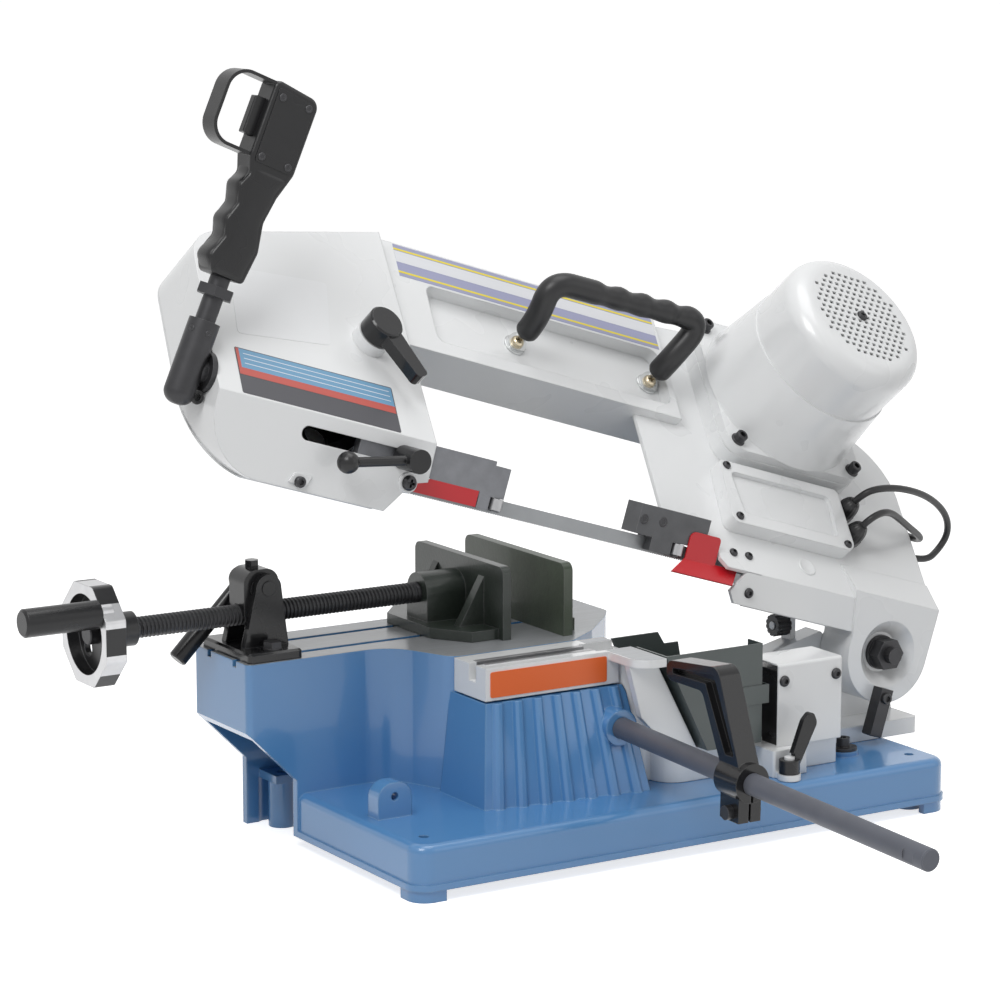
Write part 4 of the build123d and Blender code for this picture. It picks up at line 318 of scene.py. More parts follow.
def wheel_metal():
    """A bright turned rim with black notches on black spokes, told apart by the place round the screw."""
    material, tree, shader = new_material("wheel_metal")
    place = object_place(tree)
    apart = vector_calc(tree, "SUBTRACT", place, (0.0, screw_y * mm, screw_z * mm))
    spoke = vector_calc(tree, "MULTIPLY", apart, (0.0, 1.0, 1.0))
    rim = calc(tree, "GREATER_THAN", length_of(tree, spoke), rim_radius * mm)
    spot = split(tree, apart)
    turn = calc(tree, "ARCTAN2", spot[2], calc(tree, "MULTIPLY", spot[1], -1.0))
    sixths = calc(tree, "MULTIPLY", turn, notch_count / (2 * pi))
    share = calc(tree, "FRACT", calc(tree, "ADD", sixths, 0.5))
    off_middle = calc(tree, "ABSOLUTE", calc(tree, "SUBTRACT", share, 0.5))
    between = calc(tree, "LESS_THAN", off_middle, notch_share / 2)
    outer = calc(tree, "LESS_THAN", calc(tree, "ABSOLUTE", face_direction(tree)[0]), rim_side)
    notch = calc(tree, "MULTIPLY", between, outer)
    bright = calc(tree, "SUBTRACT", rim, calc(tree, "MULTIPLY", rim, notch))
    turned_rim = mix(tree, noise(tree, place, 90, cloud_detail), rim_dark, rim_bright)
    link(tree, calc(tree, "MULTIPLY", bright, rim_metal), shader.inputs["Metallic"])
    dress(tree, shader, place, mix(tree, bright, black, turned_rim), rough=0.32, edge=1.2, wear_and_sheen_tone=bare_iron,
          wear_and_sheen_amount=0.4, grain=0.05, grain_size=900)
    return material


def fan_cover_paint_and_shade():
    """White paint outside and black painted shade in the hollow under the top, told apart by the place in the
    motor's frame.
    """
    material, tree, shader = new_material("fan_cover_paint_and_shade")
    place = object_place(tree)
    axis = bow_frame.to_3x3() @ Vector((0, 0, 1))
    inner_top = bow_frame @ Vector((motor_x, motor_s, fan_top - fan_wall)) * mm
    apart = vector_calc(tree, "SUBTRACT", place, tuple(inner_top))
    rise = vector_calc(tree, "DOT_PRODUCT", apart, tuple(axis), 1)
    far = length_of(tree, vector_calc(tree, "CROSS_PRODUCT", apart, tuple(axis)))
    shade_parts = []
    for depth, radius in fan_shaded_insides:
        deep = calc(tree, "LESS_THAN", rise, -depth * mm)
        shade_parts.append(calc(tree, "MULTIPLY", deep, calc(tree, "LESS_THAN", far, radius * mm)))
    # The hollow under the cover's top is coloured black: a painted shade
    painted_shade = calc(tree, "MAXIMUM", *shade_parts)
    paint = clouded(tree, place, white, shift=0.03, size=6)
    shader.inputs["Coat Weight"].default_value = white_coat
    shader.inputs["Coat Roughness"].default_value = coat_rough
    dress(tree, shader, place, mix(tree, painted_shade, paint, black), rough=0.28, edge=1.2, wear_and_sheen_tone=white, wear_and_sheen_amount=0.2,
          grain=0.02, grain_size=160)
    return material


# Finishes of the record's material slots; a ground casting's last value is where its bare top starts along X
# Lighter edge tone for black plastic and rubber: partly wear, partly a painted highlight
plastic_wear_and_sheen = (0.05, 0.05, 0.053)
# Edge tones below: the lighter ones are painted highlights, dark_bare and bare_iron are wear
finishes = {
    "blue_paint": ground_casting("blue_paint", blue, blue_edge_highlight, 2.2, -900),
    "white_paint": finish("white_paint", white, 0.28, coat=white_coat, edge=1.6, shift=0.03, cloud=6,
                          wear_and_sheen_tone=scale_colour(white, 1.1), wear_and_sheen_amount=0.2, grain=0.02, grain_size=160),
    "bright_steel": finish("bright_steel", (0.4, 0.4, 0.41), 0.3, metal=0.75, edge=0.4, shift=0.12, cloud=120,
                           grain=0.06, grain_size=1500),
    "black_iron": finish("black_iron", (0.012, 0.012, 0.013), 0.2, coat=0.25, edge=1.2, shift=0.3, cloud=45,
                         wear_and_sheen_tone=dark_bare, wear_and_sheen_amount=0.3, grain=0.2, grain_size=420, specular=0.3),
    "jaw_iron": finish("jaw_iron", (0.028, 0.037, 0.03), 0.36, coat=0.25, edge=1.2, shift=0.45, cloud=38,
                       wear_and_sheen_tone=dark_bare, wear_and_sheen_amount=0.6, grain=0.6, grain_size=330),
    "dark_steel": finish("dark_steel", (0.045, 0.045, 0.048), 0.4, metal=0.6, edge=0.6, shift=0.25, cloud=70,
                         wear_and_sheen_tone=dark_bare, wear_and_sheen_amount=0.5, grain=0.12, grain_size=900),
    "wheel_metal": wheel_metal(),
    "black_plastic": finish("black_plastic", black, 0.27, edge=1.0, shift=0.2, cloud=60,
                            wear_and_sheen_tone=plastic_wear_and_sheen, wear_and_sheen_amount=0.3, grain=0.2, grain_size=1300, specular=0.38),
    "black_rubber": finish("black_rubber", (0.015, 0.015, 0.016), 0.36, edge=0.8, shift=0.2, cloud=60,
                           wear_and_sheen_tone=plastic_wear_and_sheen, wear_and_sheen_amount=0.2, grain=0.2, grain_size=1600, specular=0.42),
    "orange_panel": finish("orange_panel", (0.8, 0.14, 0.025), 0.36, edge=0.3, shift=0.04,
                           wear_and_sheen_tone=(0.8, 0.3, 0.12), wear_and_sheen_amount=0.3, grain=0.03),
    "bin_paint": finish("bin_paint", (0.062, 0.077, 0.075), 0.36, coat=0.2, edge=0.6, shift=0.2, cloud=18,
                        wear_and_sheen_tone=dark_bare, wear_and_sheen_amount=0.6, grain=0.12, grain_size=500),
    "red_paint": finish("red_paint", (0.55, 0.008, 0.016), 0.34, coat=0.1, edge=0.5, shift=0.07,
                        wear_and_sheen_tone=(0.62, 0.1, 0.1), wear_and_sheen_amount=0.4, grain=0.05, grain_size=400),
    "guide_iron": finish("guide_iron", (0.085, 0.087, 0.092), 0.46, metal=0.4, edge=0.8, shift=0.3, cloud=55,
                         wear_and_sheen_tone=(0.3, 0.3, 0.31), wear_and_sheen_amount=0.5, grain=0.35, grain_size=500),
    "blade_steel": finish("blade_steel", (0.3, 0.31, 0.32), 0.42, metal=0.45, edge=0.1, shift=0.12, cloud=40,
                          grain=0.08, grain_size=1200),
}
for part in frame["record"]["subparts"]:
    mesh = nodes[part["node"]].data
    mesh.materials.clear()
    mesh.materials.append(finishes[part["material_slot"]])

# Nodes that look unlike the rest of their slot
own_looks = {
    "fan_cover": fan_cover_paint_and_shade(),
    "swivel_casting": ground_casting("swivel_paint", white, white, 1.6, -37),
    "base_bolts": finishes["dark_steel"],
    "pivot_shaft": finishes["dark_steel"],
    "fixed_jaw": finish("olive_iron", (0.07, 0.088, 0.062), 0.4, coat=0.15, edge=1.2, shift=0.35, cloud=38,
                        wear_and_sheen_tone=dark_bare, wear_and_sheen_amount=0.6, grain=0.6, grain_size=330),
    "stop_rod": finish("rod_steel", (0.105, 0.112, 0.135), 0.5, metal=0.2, edge=0.8, shift=0.15, cloud=40,
                       wear_and_sheen_tone=(0.3, 0.3, 0.32), wear_and_sheen_amount=0.5, grain=0.3, grain_size=700),
    "guide_arm": finish("pitted_steel", (0.2, 0.205, 0.22), 0.45, metal=0.4, edge=0.8, shift=0.25, cloud=70,
                        wear_and_sheen_tone=(0.4, 0.4, 0.42), wear_and_sheen_amount=0.6, grain=0.6, grain_size=450),
}
for name, look in own_looks.items():
    nodes[name].data.materials.clear()
    nodes[name].data.materials.append(look)


# Shapes: each gives its points, in millimetres of the saw's frame, and its faces

key_sides = 24
cross_sides = 48
cap_sunk = 0.5
dome_sunk = 0.4


def rings(outlines, matrix):
    """A closed skin through rings of the same count."""
    count = len(outlines[0])
    points = [matrix @ Vector(spot) for outline in outlines for spot in outline]
    faces = []
    for level in range(len(outlines) - 1):
        for spot in range(count):
            near = level * count + spot
            side = level * count + (spot + 1) % count
            faces.append((near, side, side + count, near + count))
    last = (len(outlines) - 1) * count
    faces.append(tuple(reversed(range(count))))
    faces.append(tuple(range(last, last + count)))
    return points, faces


def joined(shapes):
    """Several shapes as one."""
    points = []
    faces = []
    for more_points, more_faces in shapes:
        shift = len(points)
        points += more_points
        faces += [tuple(shift + number for number in face) for face in more_faces]
    return points, faces


def circle(radius, height, count=28):
    """A ring of points round the z axis."""
    turns = [2 * pi * number / count for number in range(count)]
    return [(radius * cos(turn), radius * sin(turn), height) for turn in turns]


def hexagon(radius, height, count=key_sides):
    """A hexagon, by its inner radius, given as the same number of points as a ring."""
    spots = []
    for number in range(count):
        turn = 2 * pi * number / count
        folded = (turn + pi / 6) % (pi / 3) - pi / 6
        reach = radius / cos(folded)
        spots.append((reach * cos(turn), reach * sin(turn), height))
    return spots


def cross(reach, width, height, count=cross_sides):
    """A cross given as the same number of points as a ring."""
    spots = []
    for number in range(count):
        turn = 2 * pi * number / count
        folded = abs((turn + pi / 4) % (pi / 2) - pi / 4)
        far = reach / cos(folded) if tan(folded) * reach <= width else width / sin(folded)
        spots.append((far * cos(turn), far * sin(turn), height))
    return spots


def turned(profile, matrix, count=28):
    """A turned shape: pairs of radius and height along the matrix's z."""
    return rings([circle(radius, height, count) for radius, height in profile], matrix)


def slab(corners, thickness, matrix, low=0.0):
    """A flat plate: its outline on the matrix's plane and its thickness along z."""
    outlines = [[(x, y, height) for x, y in corners] for height in (low, low + thickness)]
    return rings(outlines, matrix)


def box_corners(left, right, low, high):
    """The corners of an upright box."""
    return [(left, low), (right, low), (right, high), (left, high)]


def rounded(corners, radius, steps=5):
    """The same outline with rounded corners."""
    spots = []
    count = len(corners)
    for number, corner in enumerate(corners):
        here = Vector(corner)
        back = (Vector(corners[number - 1]) - here).normalized() * radius
        ahead = (Vector(corners[(number + 1) % count]) - here).normalized() * radius
        for step in range(steps + 1):
            share = step / steps
            spots.append(tuple(here + back * (1 - share) ** 2 + ahead * share ** 2))
    return spots


def socket_screw(matrix, radius, height):
    """A cap screw's head with its hexagon socket."""
    rim = radius * 0.14
    key = radius * 0.5
    outlines = [circle(radius, -cap_sunk, key_sides), circle(radius, height - rim, key_sides),
                circle(radius - rim, height, key_sides), hexagon(key, height), hexagon(key, height * 0.4)]
    return rings(outlines, matrix)


def domed(radius, height, dome, count):
    """The rings of a domed head: pairs of a share of its radius and a share of its height."""
    outlines = [circle(radius, -dome_sunk, count)]
    outlines += [circle(radius * share, height * rise, count) for share, rise in dome]
    return outlines


def button_screw(matrix, radius, height):
    """A domed screw head with a hexagon socket."""
    key = radius * 0.42
    outlines = domed(radius, height, ((1, 0.3), (0.9, 0.65), (0.68, 0.95)), key_sides)
    return rings(outlines + [hexagon(key, height), hexagon(key, height * 0.35)], matrix)


def cross_screw(matrix, radius, height):
    """A domed screw head with a cross recess."""
    outlines = domed(radius, height, ((1, 0.4), (0.88, 0.8), (0.7, 1)), cross_sides)
    recess = [cross(radius * 0.56, radius * 0.17, height), cross(radius * 0.42, radius * 0.13, height * 0.3)]
    return rings(outlines + recess, matrix)


def rod(start, end, radius, matrix, count=20):
    """A round rod between two points of the matrix's frame."""
    along = Vector(end) - Vector(start)
    turn = along.to_track_quat("Z", "Y").to_matrix().to_4x4()
    edge = radius * 0.15
    length = along.length
    profile = [(radius - edge, 0), (radius, edge), (radius, length - edge), (radius - edge, length)]
    return turned(profile, matrix @ at(*start) @ turn, count)


def piece(name, shape, body, slot, material=None, smooth=True):
    """A new mesh that rides on a body, with a record slot's finish or its own."""
    points, faces = shape
    mesh = bpy.data.meshes.new(name)
    mesh.from_pydata([Vector(spot) * mm for spot in points], [], faces)
    mesh.materials.append(material or finishes[slot])
    mesh.validate()
    mesh.update()
    thing = bpy.data.objects.new(name, mesh)
    scene.collection.objects.link(thing)
    if smooth:
        mesh.shade_smooth()
        mesh.set_sharp_from_angle(angle=radians(35))
    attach(thing, body)
    return thing


def label(name, shapes, look):
    """Thin flat trim on the bow's white paint."""
    return piece(name, joined(shapes), "bow", "white_paint", look, smooth=False)


# Smooth lines through the bow's frame

def smooth_curve(name, route):
    """A curve of one open spline with the route's points as its control points."""
    curve = bpy.data.curves.new(name, "CURVE")
    curve.dimensions = "3D"
    curve.resolution_u = 14
    spline = curve.splines.new("NURBS")
    spline.points.add(len(route) - 1)
    for point, spot in zip(spline.points, route):
        point.co = (*(bow_frame @ Vector(spot) * mm), 1)
    spline.order_u = 3
    spline.use_endpoint_u = True
    return curve


def line_points(route):
    """Points along such a curve, in millimetres of the saw's frame."""
    curve = smooth_curve("line", route)
    holder = bpy.data.objects.new("line", curve)
    scene.collection.objects.link(holder)
    mesh = bpy.data.meshes.new_from_object(holder.evaluated_get(bpy.context.evaluated_depsgraph_get()))
    points = [vertex.co / mm for vertex in mesh.vertices]
    bpy.data.objects.remove(holder)
    bpy.data.meshes.remove(mesh)
    bpy.data.curves.remove(curve)
    return points


# Cable glands and end bushes: hexagon base, ribbed nut that tapers to the cable, tapered bush
gland_places = ((249, 87), (249, 57))
gland_base = ((10.2, drive_panel), (10.2, 22), (9.4, 23))
gland_profile = ((10.4, 23), (10.4, 26), (9.8, 31), (8.6, 35), (6.4, 38.5), (4.4, 40))
gland_ribs = 12
gland_sides = 6 * gland_ribs
rib_depth = 0.05
bush_places = ((78, -8, 18), (108, -9, 7))
bush_root = [(8, 0), (8, 2), (6.4, 2.6)]
gland_shapes = []
for x, s in gland_places:
    base = bow_frame @ at(x, s, 0)
    gland_shapes.append(rings([hexagon(radius, height) for radius, height in gland_base], base))
    outlines = []
    for radius, height in gland_profile:
        ring = []
        for spot in range(gland_sides):
            turn = 2 * pi * spot / gland_sides
            reach = radius * (1 - rib_depth * (0.5 + 0.5 * cos(gland_ribs * turn)) ** 3)
            ring.append((reach * cos(turn), reach * sin(turn), height))
        outlines.append(ring)
    gland_shapes.append(rings(outlines, base))
for s, h, length in bush_places:
    end = bow_frame @ at(drive_end, s, h) @ facing_right
    gland_shapes.append(turned(bush_root + [(4.6, length), (3.9, length + 1)], end))
glands = piece("gland_nuts", joined(gland_shapes), "bow", "black_plastic")
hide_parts("cable_glands")

# Motor cables, from their glands back into the housing's end
cable_diameter = 7
cable_routes = {
    "upper": [(249, 87, 38), (249, 87, 54), (265, 90, 64), (295, 97, 64), (332, 105, 56), (364, 109, 44),
              (388, 108, 30), (400, 102, 14), (396, 92, 0), (380, 78, -8), (358, 78, -8)],
    "lower": [(249, 57, 38), (249, 57, 50), (262, 64, 57), (280, 71, 53), (302, 75, 43), (326, 79, 31),
              (348, 84, 20), (364, 91, 8), (369, 100, -3), (360, 108, -9), (347, 108, -9)]}
for place_name, route in cable_routes.items():
    curve = smooth_curve("cable_" + place_name, route)
    curve.bevel_depth = cable_diameter / 2 * mm
    curve.bevel_resolution = 6
    curve.use_fill_caps = True
    curve.materials.append(finishes["black_rubber"])
    cable = bpy.data.objects.new("cable_" + place_name, curve)
    scene.collection.objects.link(cable)
    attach(cable, "bow")
    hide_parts("motor_cable_" + place_name)

# Carry grip with finger hollows, on two rods whose flattened ends are screwed to the beam's pocket
grip_route = [(-120, 201, 30), (-120, 201, 50), (-124, 219, 88), (-76, 220.3, 88),
              (12, 222.7, 88), (60, 224, 88), (39, 198, 50), (39, 198, 30)]
grip_radius = 11.6
grip_end_share = 0.82
grip_end_slope = 0.06
grip_sides = 32
hollow_start = -74
hollow_pitch = 29
hollow_count = 4
hollow_depth = 3.0
hollow_floor = 80
hollow_behind = 0.25


def grip_skin():
    """Rings square to the grip's line, drawn in at the hollows and at both ends."""
    line = line_points(grip_route)
    back = bow_frame.inverted()
    across = bow_frame.to_3x3() @ Vector((0, 1, 0))
    lengths = [0.0]
    for before, after in zip(line, line[1:]):
        lengths.append(lengths[-1] + (after - before).length)
    outlines = []
    for number, spot in enumerate(line):
        ahead = (line[min(number + 1, len(line) - 1)] - line[max(number - 1, 0)]).normalized()
        side = (across - ahead * across.dot(ahead)).normalized()
        outward = ahead.cross(side)
        end_room = min(lengths[number], lengths[-1] - lengths[number])
        end_share = min(1.0, grip_end_share + grip_end_slope * end_room)
        reach = (back @ spot).x - hollow_start
        dip = 0.0
        if 0 < reach < hollow_count * hollow_pitch and (back @ spot).z > hollow_floor:
            dip = hollow_depth * (0.5 - 0.5 * cos(2 * pi * reach / hollow_pitch))
        ring = []
        for corner in range(grip_sides):
            turn = 2 * pi * corner / grip_sides
            facing = 0.5 + 0.5 * sin(turn)
            radius = grip_radius * end_share - dip * (hollow_behind + (1 - hollow_behind) * facing)
            ring.append(spot + (side * cos(turn) + outward * sin(turn)) * radius)
        outlines.append(ring)
    return rings(outlines, Matrix())


carry_grip = piece("carry_grip", grip_skin(), "bow", "black_rubber")
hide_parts("carry_handle")

zinc = finish("zinc_plate", (0.55, 0.56, 0.56), 0.3, metal=0.8, edge=0.4, shift=0.12, cloud=150, grain=0.05)
gilt = finish("yellow_zinc", (0.58, 0.5, 0.36), 0.28, metal=0.85, edge=0.3, shift=0.15, cloud=150, grain=0.05)
foot_places = ((-120, 201), (39, 198))
washer_thickness = 2
washer_sides = 32
washer_profile = [(11.5, -0.3), (11.5, 1.5), (10.9, washer_thickness), (6, washer_thickness)]
eyelet_thickness = 2.6
tongue = rounded([(-8.5, -8.5), (8.5, -8.5), (13, 4), (11, 14), (2, 15), (-8.5, 6)], 5)
stem_start = (7, 9, washer_thickness + 0.5)
stem_end = (1, 1, 24)
stem_radius = 5.4
foot_shapes = []
foot_screws = []
for x, s in foot_places:
    floor_plane = bow_frame @ at(x, s, pocket_floor)
    foot_shapes.append(turned(washer_profile, floor_plane, washer_sides))
    foot_shapes.append(slab(tongue, eyelet_thickness, floor_plane, washer_thickness))
    foot_shapes.append(rod(stem_start, stem_end, stem_radius, floor_plane))
    foot_screws.append(cross_screw(floor_plane @ at(0, 0, washer_thickness + eyelet_thickness), 6.6, 5))
feet = piece("handle_feet", joined(foot_shapes), "bow", "bright_steel", zinc)
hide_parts("handle_rods")
piece("handle_screws", joined(foot_screws), "bow", "bright_steel", gilt)

# Motor bolts on washers, and the screw in the middle of the fan cover
bolt_washer = 1.3
bolt_washer_profile = [(7.4, -0.3), (7.4, 1.0), (6.9, bolt_washer)]
motor_screws = []
for side in (-motor_bolt_x, motor_bolt_x):
    for rise in (-motor_bolt_s, motor_bolt_s):
        base = bow_frame @ at(motor_x + side, motor_s + rise, motor_flange)
        motor_screws.append(turned(bolt_washer_profile, base))
        motor_screws.append(socket_screw(base @ at(0, 0, bolt_washer), 6, 8))
bolts = piece("motor_screws", joined(motor_screws), "bow", "dark_steel")
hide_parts("motor_bolts")
piece("fan_screw", cross_screw(bow_frame @ at(motor_x, motor_s, fan_top), 5.5, 3), "bow", "dark_steel")

# Vise screw with its thread, which fades in and out over its first and last rings
screw_left = -487
screw_right = -140.3
screw_sides = 24
journal_right = -112.3
journal_radius = 8
thread_left = -440
thread_start = 0.5
thread_gap = 2
thread_pitch = 4
thread_steps = 8
thread_fade = 0.1
ridge_gain = 1.35
crest = 10.0
root = 8.3


def thread_ring(along, depth=1.0):
    """One ring of the thread: the ridge winds once round in each pitch."""
    ring = []
    for spot in range(screw_sides):
        turn = 2 * pi * spot / screw_sides
        share = ((along - thread_left) / thread_pitch - spot / screw_sides) % 1
        ridge = min(1.0, max(0.0, 0.5 + ridge_gain * sin(2 * pi * share)))
        radius = crest - depth * (crest - root) * (1 - ridge)
        ring.append((radius * cos(turn), radius * sin(turn), along))
    return ring


screw_line = at(0, screw_y, screw_z) @ facing_right
outlines = [circle(crest - 1, screw_left, screw_sides), circle(crest, screw_left + 1, screw_sides),
            circle(crest, thread_left, screw_sides)]
ring_count = int((screw_right - thread_gap - thread_left) / thread_pitch * thread_steps)
for number in range(ring_count):
    along = thread_left + thread_start + number * thread_pitch / thread_steps
    depth = min(1.0, thread_fade * number, thread_fade * (ring_count - 1 - number))
    outlines.append(thread_ring(along, depth))
outlines += [circle(crest, screw_right, screw_sides), circle(journal_radius, screw_right + 0.2, screw_sides),
             circle(journal_radius, journal_right, screw_sides)]
screw = piece("threaded_screw", rings(outlines, screw_line), "screw", "dark_steel")
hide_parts("vise_screw")

# Saw teeth along the straight run between the guides
tooth_pitch = 2.6
tooth_height = 1.1
tooth_root = 0.2
tooth_lead = 0.25
tooth_thickness = 0.8
run_start = -280
run_end = 60
blade_low = blade_z - 6.5
tooth_plane = raised @ at(0, swivel_y + tooth_thickness / 2, blade_low) @ facing_front
teeth = []
for number in range(int((run_end - run_start) / tooth_pitch)):
    left = run_start + number * tooth_pitch
    tip = left + tooth_lead * tooth_pitch
    corners = [(left, tooth_root), (tip, -tooth_height), (left + tooth_pitch, tooth_root)]
    teeth.append(slab(corners, tooth_thickness, tooth_plane))
piece("blade_teeth", joined(teeth), "bow", "blade_steel", smooth=False)

# Plain stripes along the beam
lilac = finish("band_lilac", (0.33, 0.34, 0.5), 0.34, edge=0.1, shift=0.04, wear_and_sheen_amount=0.1, grain=0.02)
yellow = finish("band_yellow", (0.8, 0.68, 0.05), 0.34, edge=0.1, shift=0.04, wear_and_sheen_amount=0.1, grain=0.02)
band_white = finish("band_white", (0.72, 0.73, 0.76), 0.34, edge=0.1, shift=0.03, wear_and_sheen_amount=0.1, grain=0.02)
band_left = -253
band_right = 56
band_low = 236.5
band_high = 276
band_film = 0.25
stripe_low = 254
stripe_high = 268
stripe_film = 0.35
line_lows = (240.5, 269)
line_width = 2.4
beam_plane = bow_frame @ at(0, 0, beam_front)


def band(low, high, film):
    """A stripe along the whole band."""
    return slab(box_corners(band_left, band_right, low, high), film, beam_plane)


label("beam_band", [band(band_low, band_high, band_film)], lilac)
label("beam_stripe", [band(stripe_low, stripe_high, stripe_film)], band_white)
label("beam_lines", [band(low, low + line_width, stripe_film) for low in line_lows], yellow)

# Bare plate and banded plate on the idler housing
plate_pale = finish("plate_pale", (0.8, 0.81, 0.82), 0.35, edge=0.1, shift=0.03, wear_and_sheen_amount=0.1, grain=0.02)
plate_dark = finish("plate_dark", (0.075, 0.075, 0.085), 0.4, edge=0.1, shift=0.1, wear_and_sheen_amount=0.1, grain=0.03)
plate_blue = finish("plate_blue", (0.16, 0.34, 0.52), 0.38, edge=0.1, shift=0.06, wear_and_sheen_amount=0.1, grain=0.02)
plate_red = finish("plate_red", (0.52, 0.1, 0.08), 0.38, edge=0.1, shift=0.06, wear_and_sheen_amount=0.1, grain=0.02)
plate_film = 0.3
colour_film = 0.45
rule_film = 0.55
upper_corners = [(-466, 91), (-366, 106), (-355, 183), (-461, 170)]
plate_left = -473
plate_right = -307.5
plate_low = 22
plate_high = 73.7
plate_edge = 1
red_low = 43.3
red_high = 51.3
red_margin = 4
rule_lows = (56.5, 62, 67.5)
rule_width = 0.7
rule_margin = 4
panel_plane = bow_frame @ at(0, 0, idler_panel)
red_left = plate_left + plate_edge
blue_left = plate_left + red_margin
colour_right = plate_right - plate_edge
colour_top = plate_high - plate_edge
label("upper_plate", [slab(rounded(upper_corners, 5), plate_film, panel_plane)], plate_pale)
lower_corners = rounded(box_corners(plate_left, plate_right, plate_low, plate_high), 2)
label("lower_plate", [slab(lower_corners, plate_film, panel_plane)], plate_dark)
red_boxes = (box_corners(red_left, colour_right, red_low, red_high),
             box_corners(red_left, blue_left, red_high, colour_top))
label("lower_plate_red", [slab(corners, colour_film, panel_plane) for corners in red_boxes], plate_red)
blue_box = box_corners(blue_left, colour_right, red_high, colour_top)
label("lower_plate_blue", [slab(blue_box, colour_film, panel_plane)], plate_blue)
rule_left = blue_left + rule_margin
rule_right = plate_right - rule_margin
rule_boxes = [box_corners(rule_left, rule_right, low, low + rule_width) for low in rule_lows]
label("lower_plate_rules", [slab(corners, rule_film, panel_plane) for corners in rule_boxes], plate_pale)

# Fasteners on the bow's panels and facets, and their bosses; a head is its radius and height
panel_head = (4.4, 3)
junction_screws = ((93, 36), (95, 98), (229, 35))
drive_screws = ((86.7, 2), (105.6, 2.2))
drive_facet_x = 106
drive_facet_z = 164
stop_bar_z = 96
tab_x = -398
tab_z = 164
tab_thickness = 1.6
tab_corners = rounded([(-11, -0.4), (9, -0.4), (12, 9), (-6, 9)], 1)
tab_sunk = 0.2
tab_screw_rise = 2
facet_x = -289
facet_z = 188
boss_height = 2
boss_profile = [(10, -0.5), (9.6, 1.2), (8.6, boss_height)]
ring_profile = [(10.5, -0.4), (9.6, 0.9), (8.8, 1.1), (7.6, 0.5)]
ring_spot = bow_frame @ at(180.5, 7.3, drive_panel)
ring_sides = 40
guide_screws = ((-26, 208), (-4, 209.5))
cover_screw_places = (127, 188)
cover_screw_z = 141.5


def front_spot(x, y, z):
    """A place on a face of the raised bow that looks to the front."""
    return raised @ at(x, y, z) @ facing_front


panel_screws = [button_screw(bow_frame @ at(x, s, junction_front), *panel_head) for x, s in junction_screws]
panel_screws += [button_screw(bow_frame @ at(x, s, drive_panel), *panel_head) for x, s in drive_screws]
panel_screws.append(button_screw(front_spot(drive_facet_x, drive_facet, drive_facet_z), 5, 3))
tab_screw = front_spot(tab_x, idler_facet - tab_thickness, tab_z + tab_screw_rise)
panel_screws.append(socket_screw(tab_screw, 5, 4))
panel_screws.append(socket_screw(front_spot(pivot_x, stop_bar_front, stop_bar_z), 5.5, 3.5))
piece("panel_screws", joined(panel_screws), "bow", "dark_steel")
tab = slab(tab_corners, tab_thickness, front_spot(tab_x, idler_facet, tab_z), -tab_sunk)
piece("cover_tab", tab, "bow", "white_paint")
facet_spot = front_spot(facet_x, idler_facet, facet_z)
piece("facet_boss", turned(boss_profile, facet_spot), "bow", "white_paint")
piece("facet_screw", cross_screw(facet_spot @ at(0, 0, boss_height), 7, 4.5), "bow", "dark_steel")
piece("panel_boss", turned(ring_profile, ring_spot, ring_sides), "bow", "white_paint")
block_screws = [socket_screw(front_spot(x, guide_front, z), 5.2, 0.5) for x, z in guide_screws]
piece("guide_screws", joined(block_screws), "bow", "dark_steel")
cover_spots = [at(x, cover_front, cover_screw_z) @ facing_front for x in cover_screw_places]
cover_screws = [button_screw(spot, 5.4, 3.4) for spot in cover_spots]
piece("cover_screws", joined(cover_screws), "swivel", "dark_steel")

# Switch grip: cover plate with four screws, and set screws in the elbow
grip_lean = raised @ at(-520, -36, 205) @ Matrix.Rotation(radians(6), 4, "Y")
grip_frame = grip_lean @ facing_front
grip_face = grip_frame @ at(0, 0, 14)
head_corners = rounded([(-15, 219), (22, 219), (23, 283), (-15.5, 286)], 3)
head_plate = 0.9
head_plate_sunk = 0.1
head_screw_sides = (-10, 17.5)
head_screw_rises = (224.5, 278.5)
elbow_radius = 14
elbow_rise = 66
set_screw_turns = (-66, 0)
head_cover = slab(head_corners, head_plate, grip_face, -head_plate_sunk)
piece("grip_plate", head_cover, "bow", "black_plastic", smooth=False)
grip_screws = []
for x in head_screw_sides:
    for u in head_screw_rises:
        grip_screws.append(socket_screw(grip_face @ at(x, u, head_plate - head_plate_sunk), 3.6, 1))
for turn in set_screw_turns:
    elbow_side = grip_lean @ Matrix.Rotation(radians(turn), 4, "Z")
    set_spot = elbow_side @ at(0, -elbow_radius, elbow_rise) @ facing_front
    grip_screws.append(socket_screw(set_spot, 2.8, 0.5))
piece("grip_screws", joined(grip_screws), "bow", "dark_steel")

# Smooth sleeve over the switch grip's waves: pairs of rise and side
grip_low = 116
grip_right = [(0, 16), (30, 20), (56, 15), (80, 19), (104, 27)]
grip_left = [(0, -16), (14, -24), (34, -16), (48, -21), (64, -15), (80, -20), (92, -14), (108, -20)]
sleeve_low = 2
sleeve_high = 98
sleeve_over = 1.2
sleeve_half = 15
sleeve_steps = 64
sleeve_sides = 40
sleeve_end_share = 0.93
sleeve_end_slope = 0.035
sleeve_square = 0.45


def eased(spots, rise):
    """The side at a rise, on a smooth wave through the spots."""
    for (low, start), (high, end) in zip(spots, spots[1:]):
        if low <= rise <= high:
            return start + (end - start) * (0.5 - 0.5 * cos(pi * (rise - low) / (high - low)))
    return spots[-1][1]


def squared(wave):
    """A sine or cosine drawn out, so that a circle becomes a rounded square."""
    return abs(wave) ** sleeve_square * (1 if wave > 0 else -1)


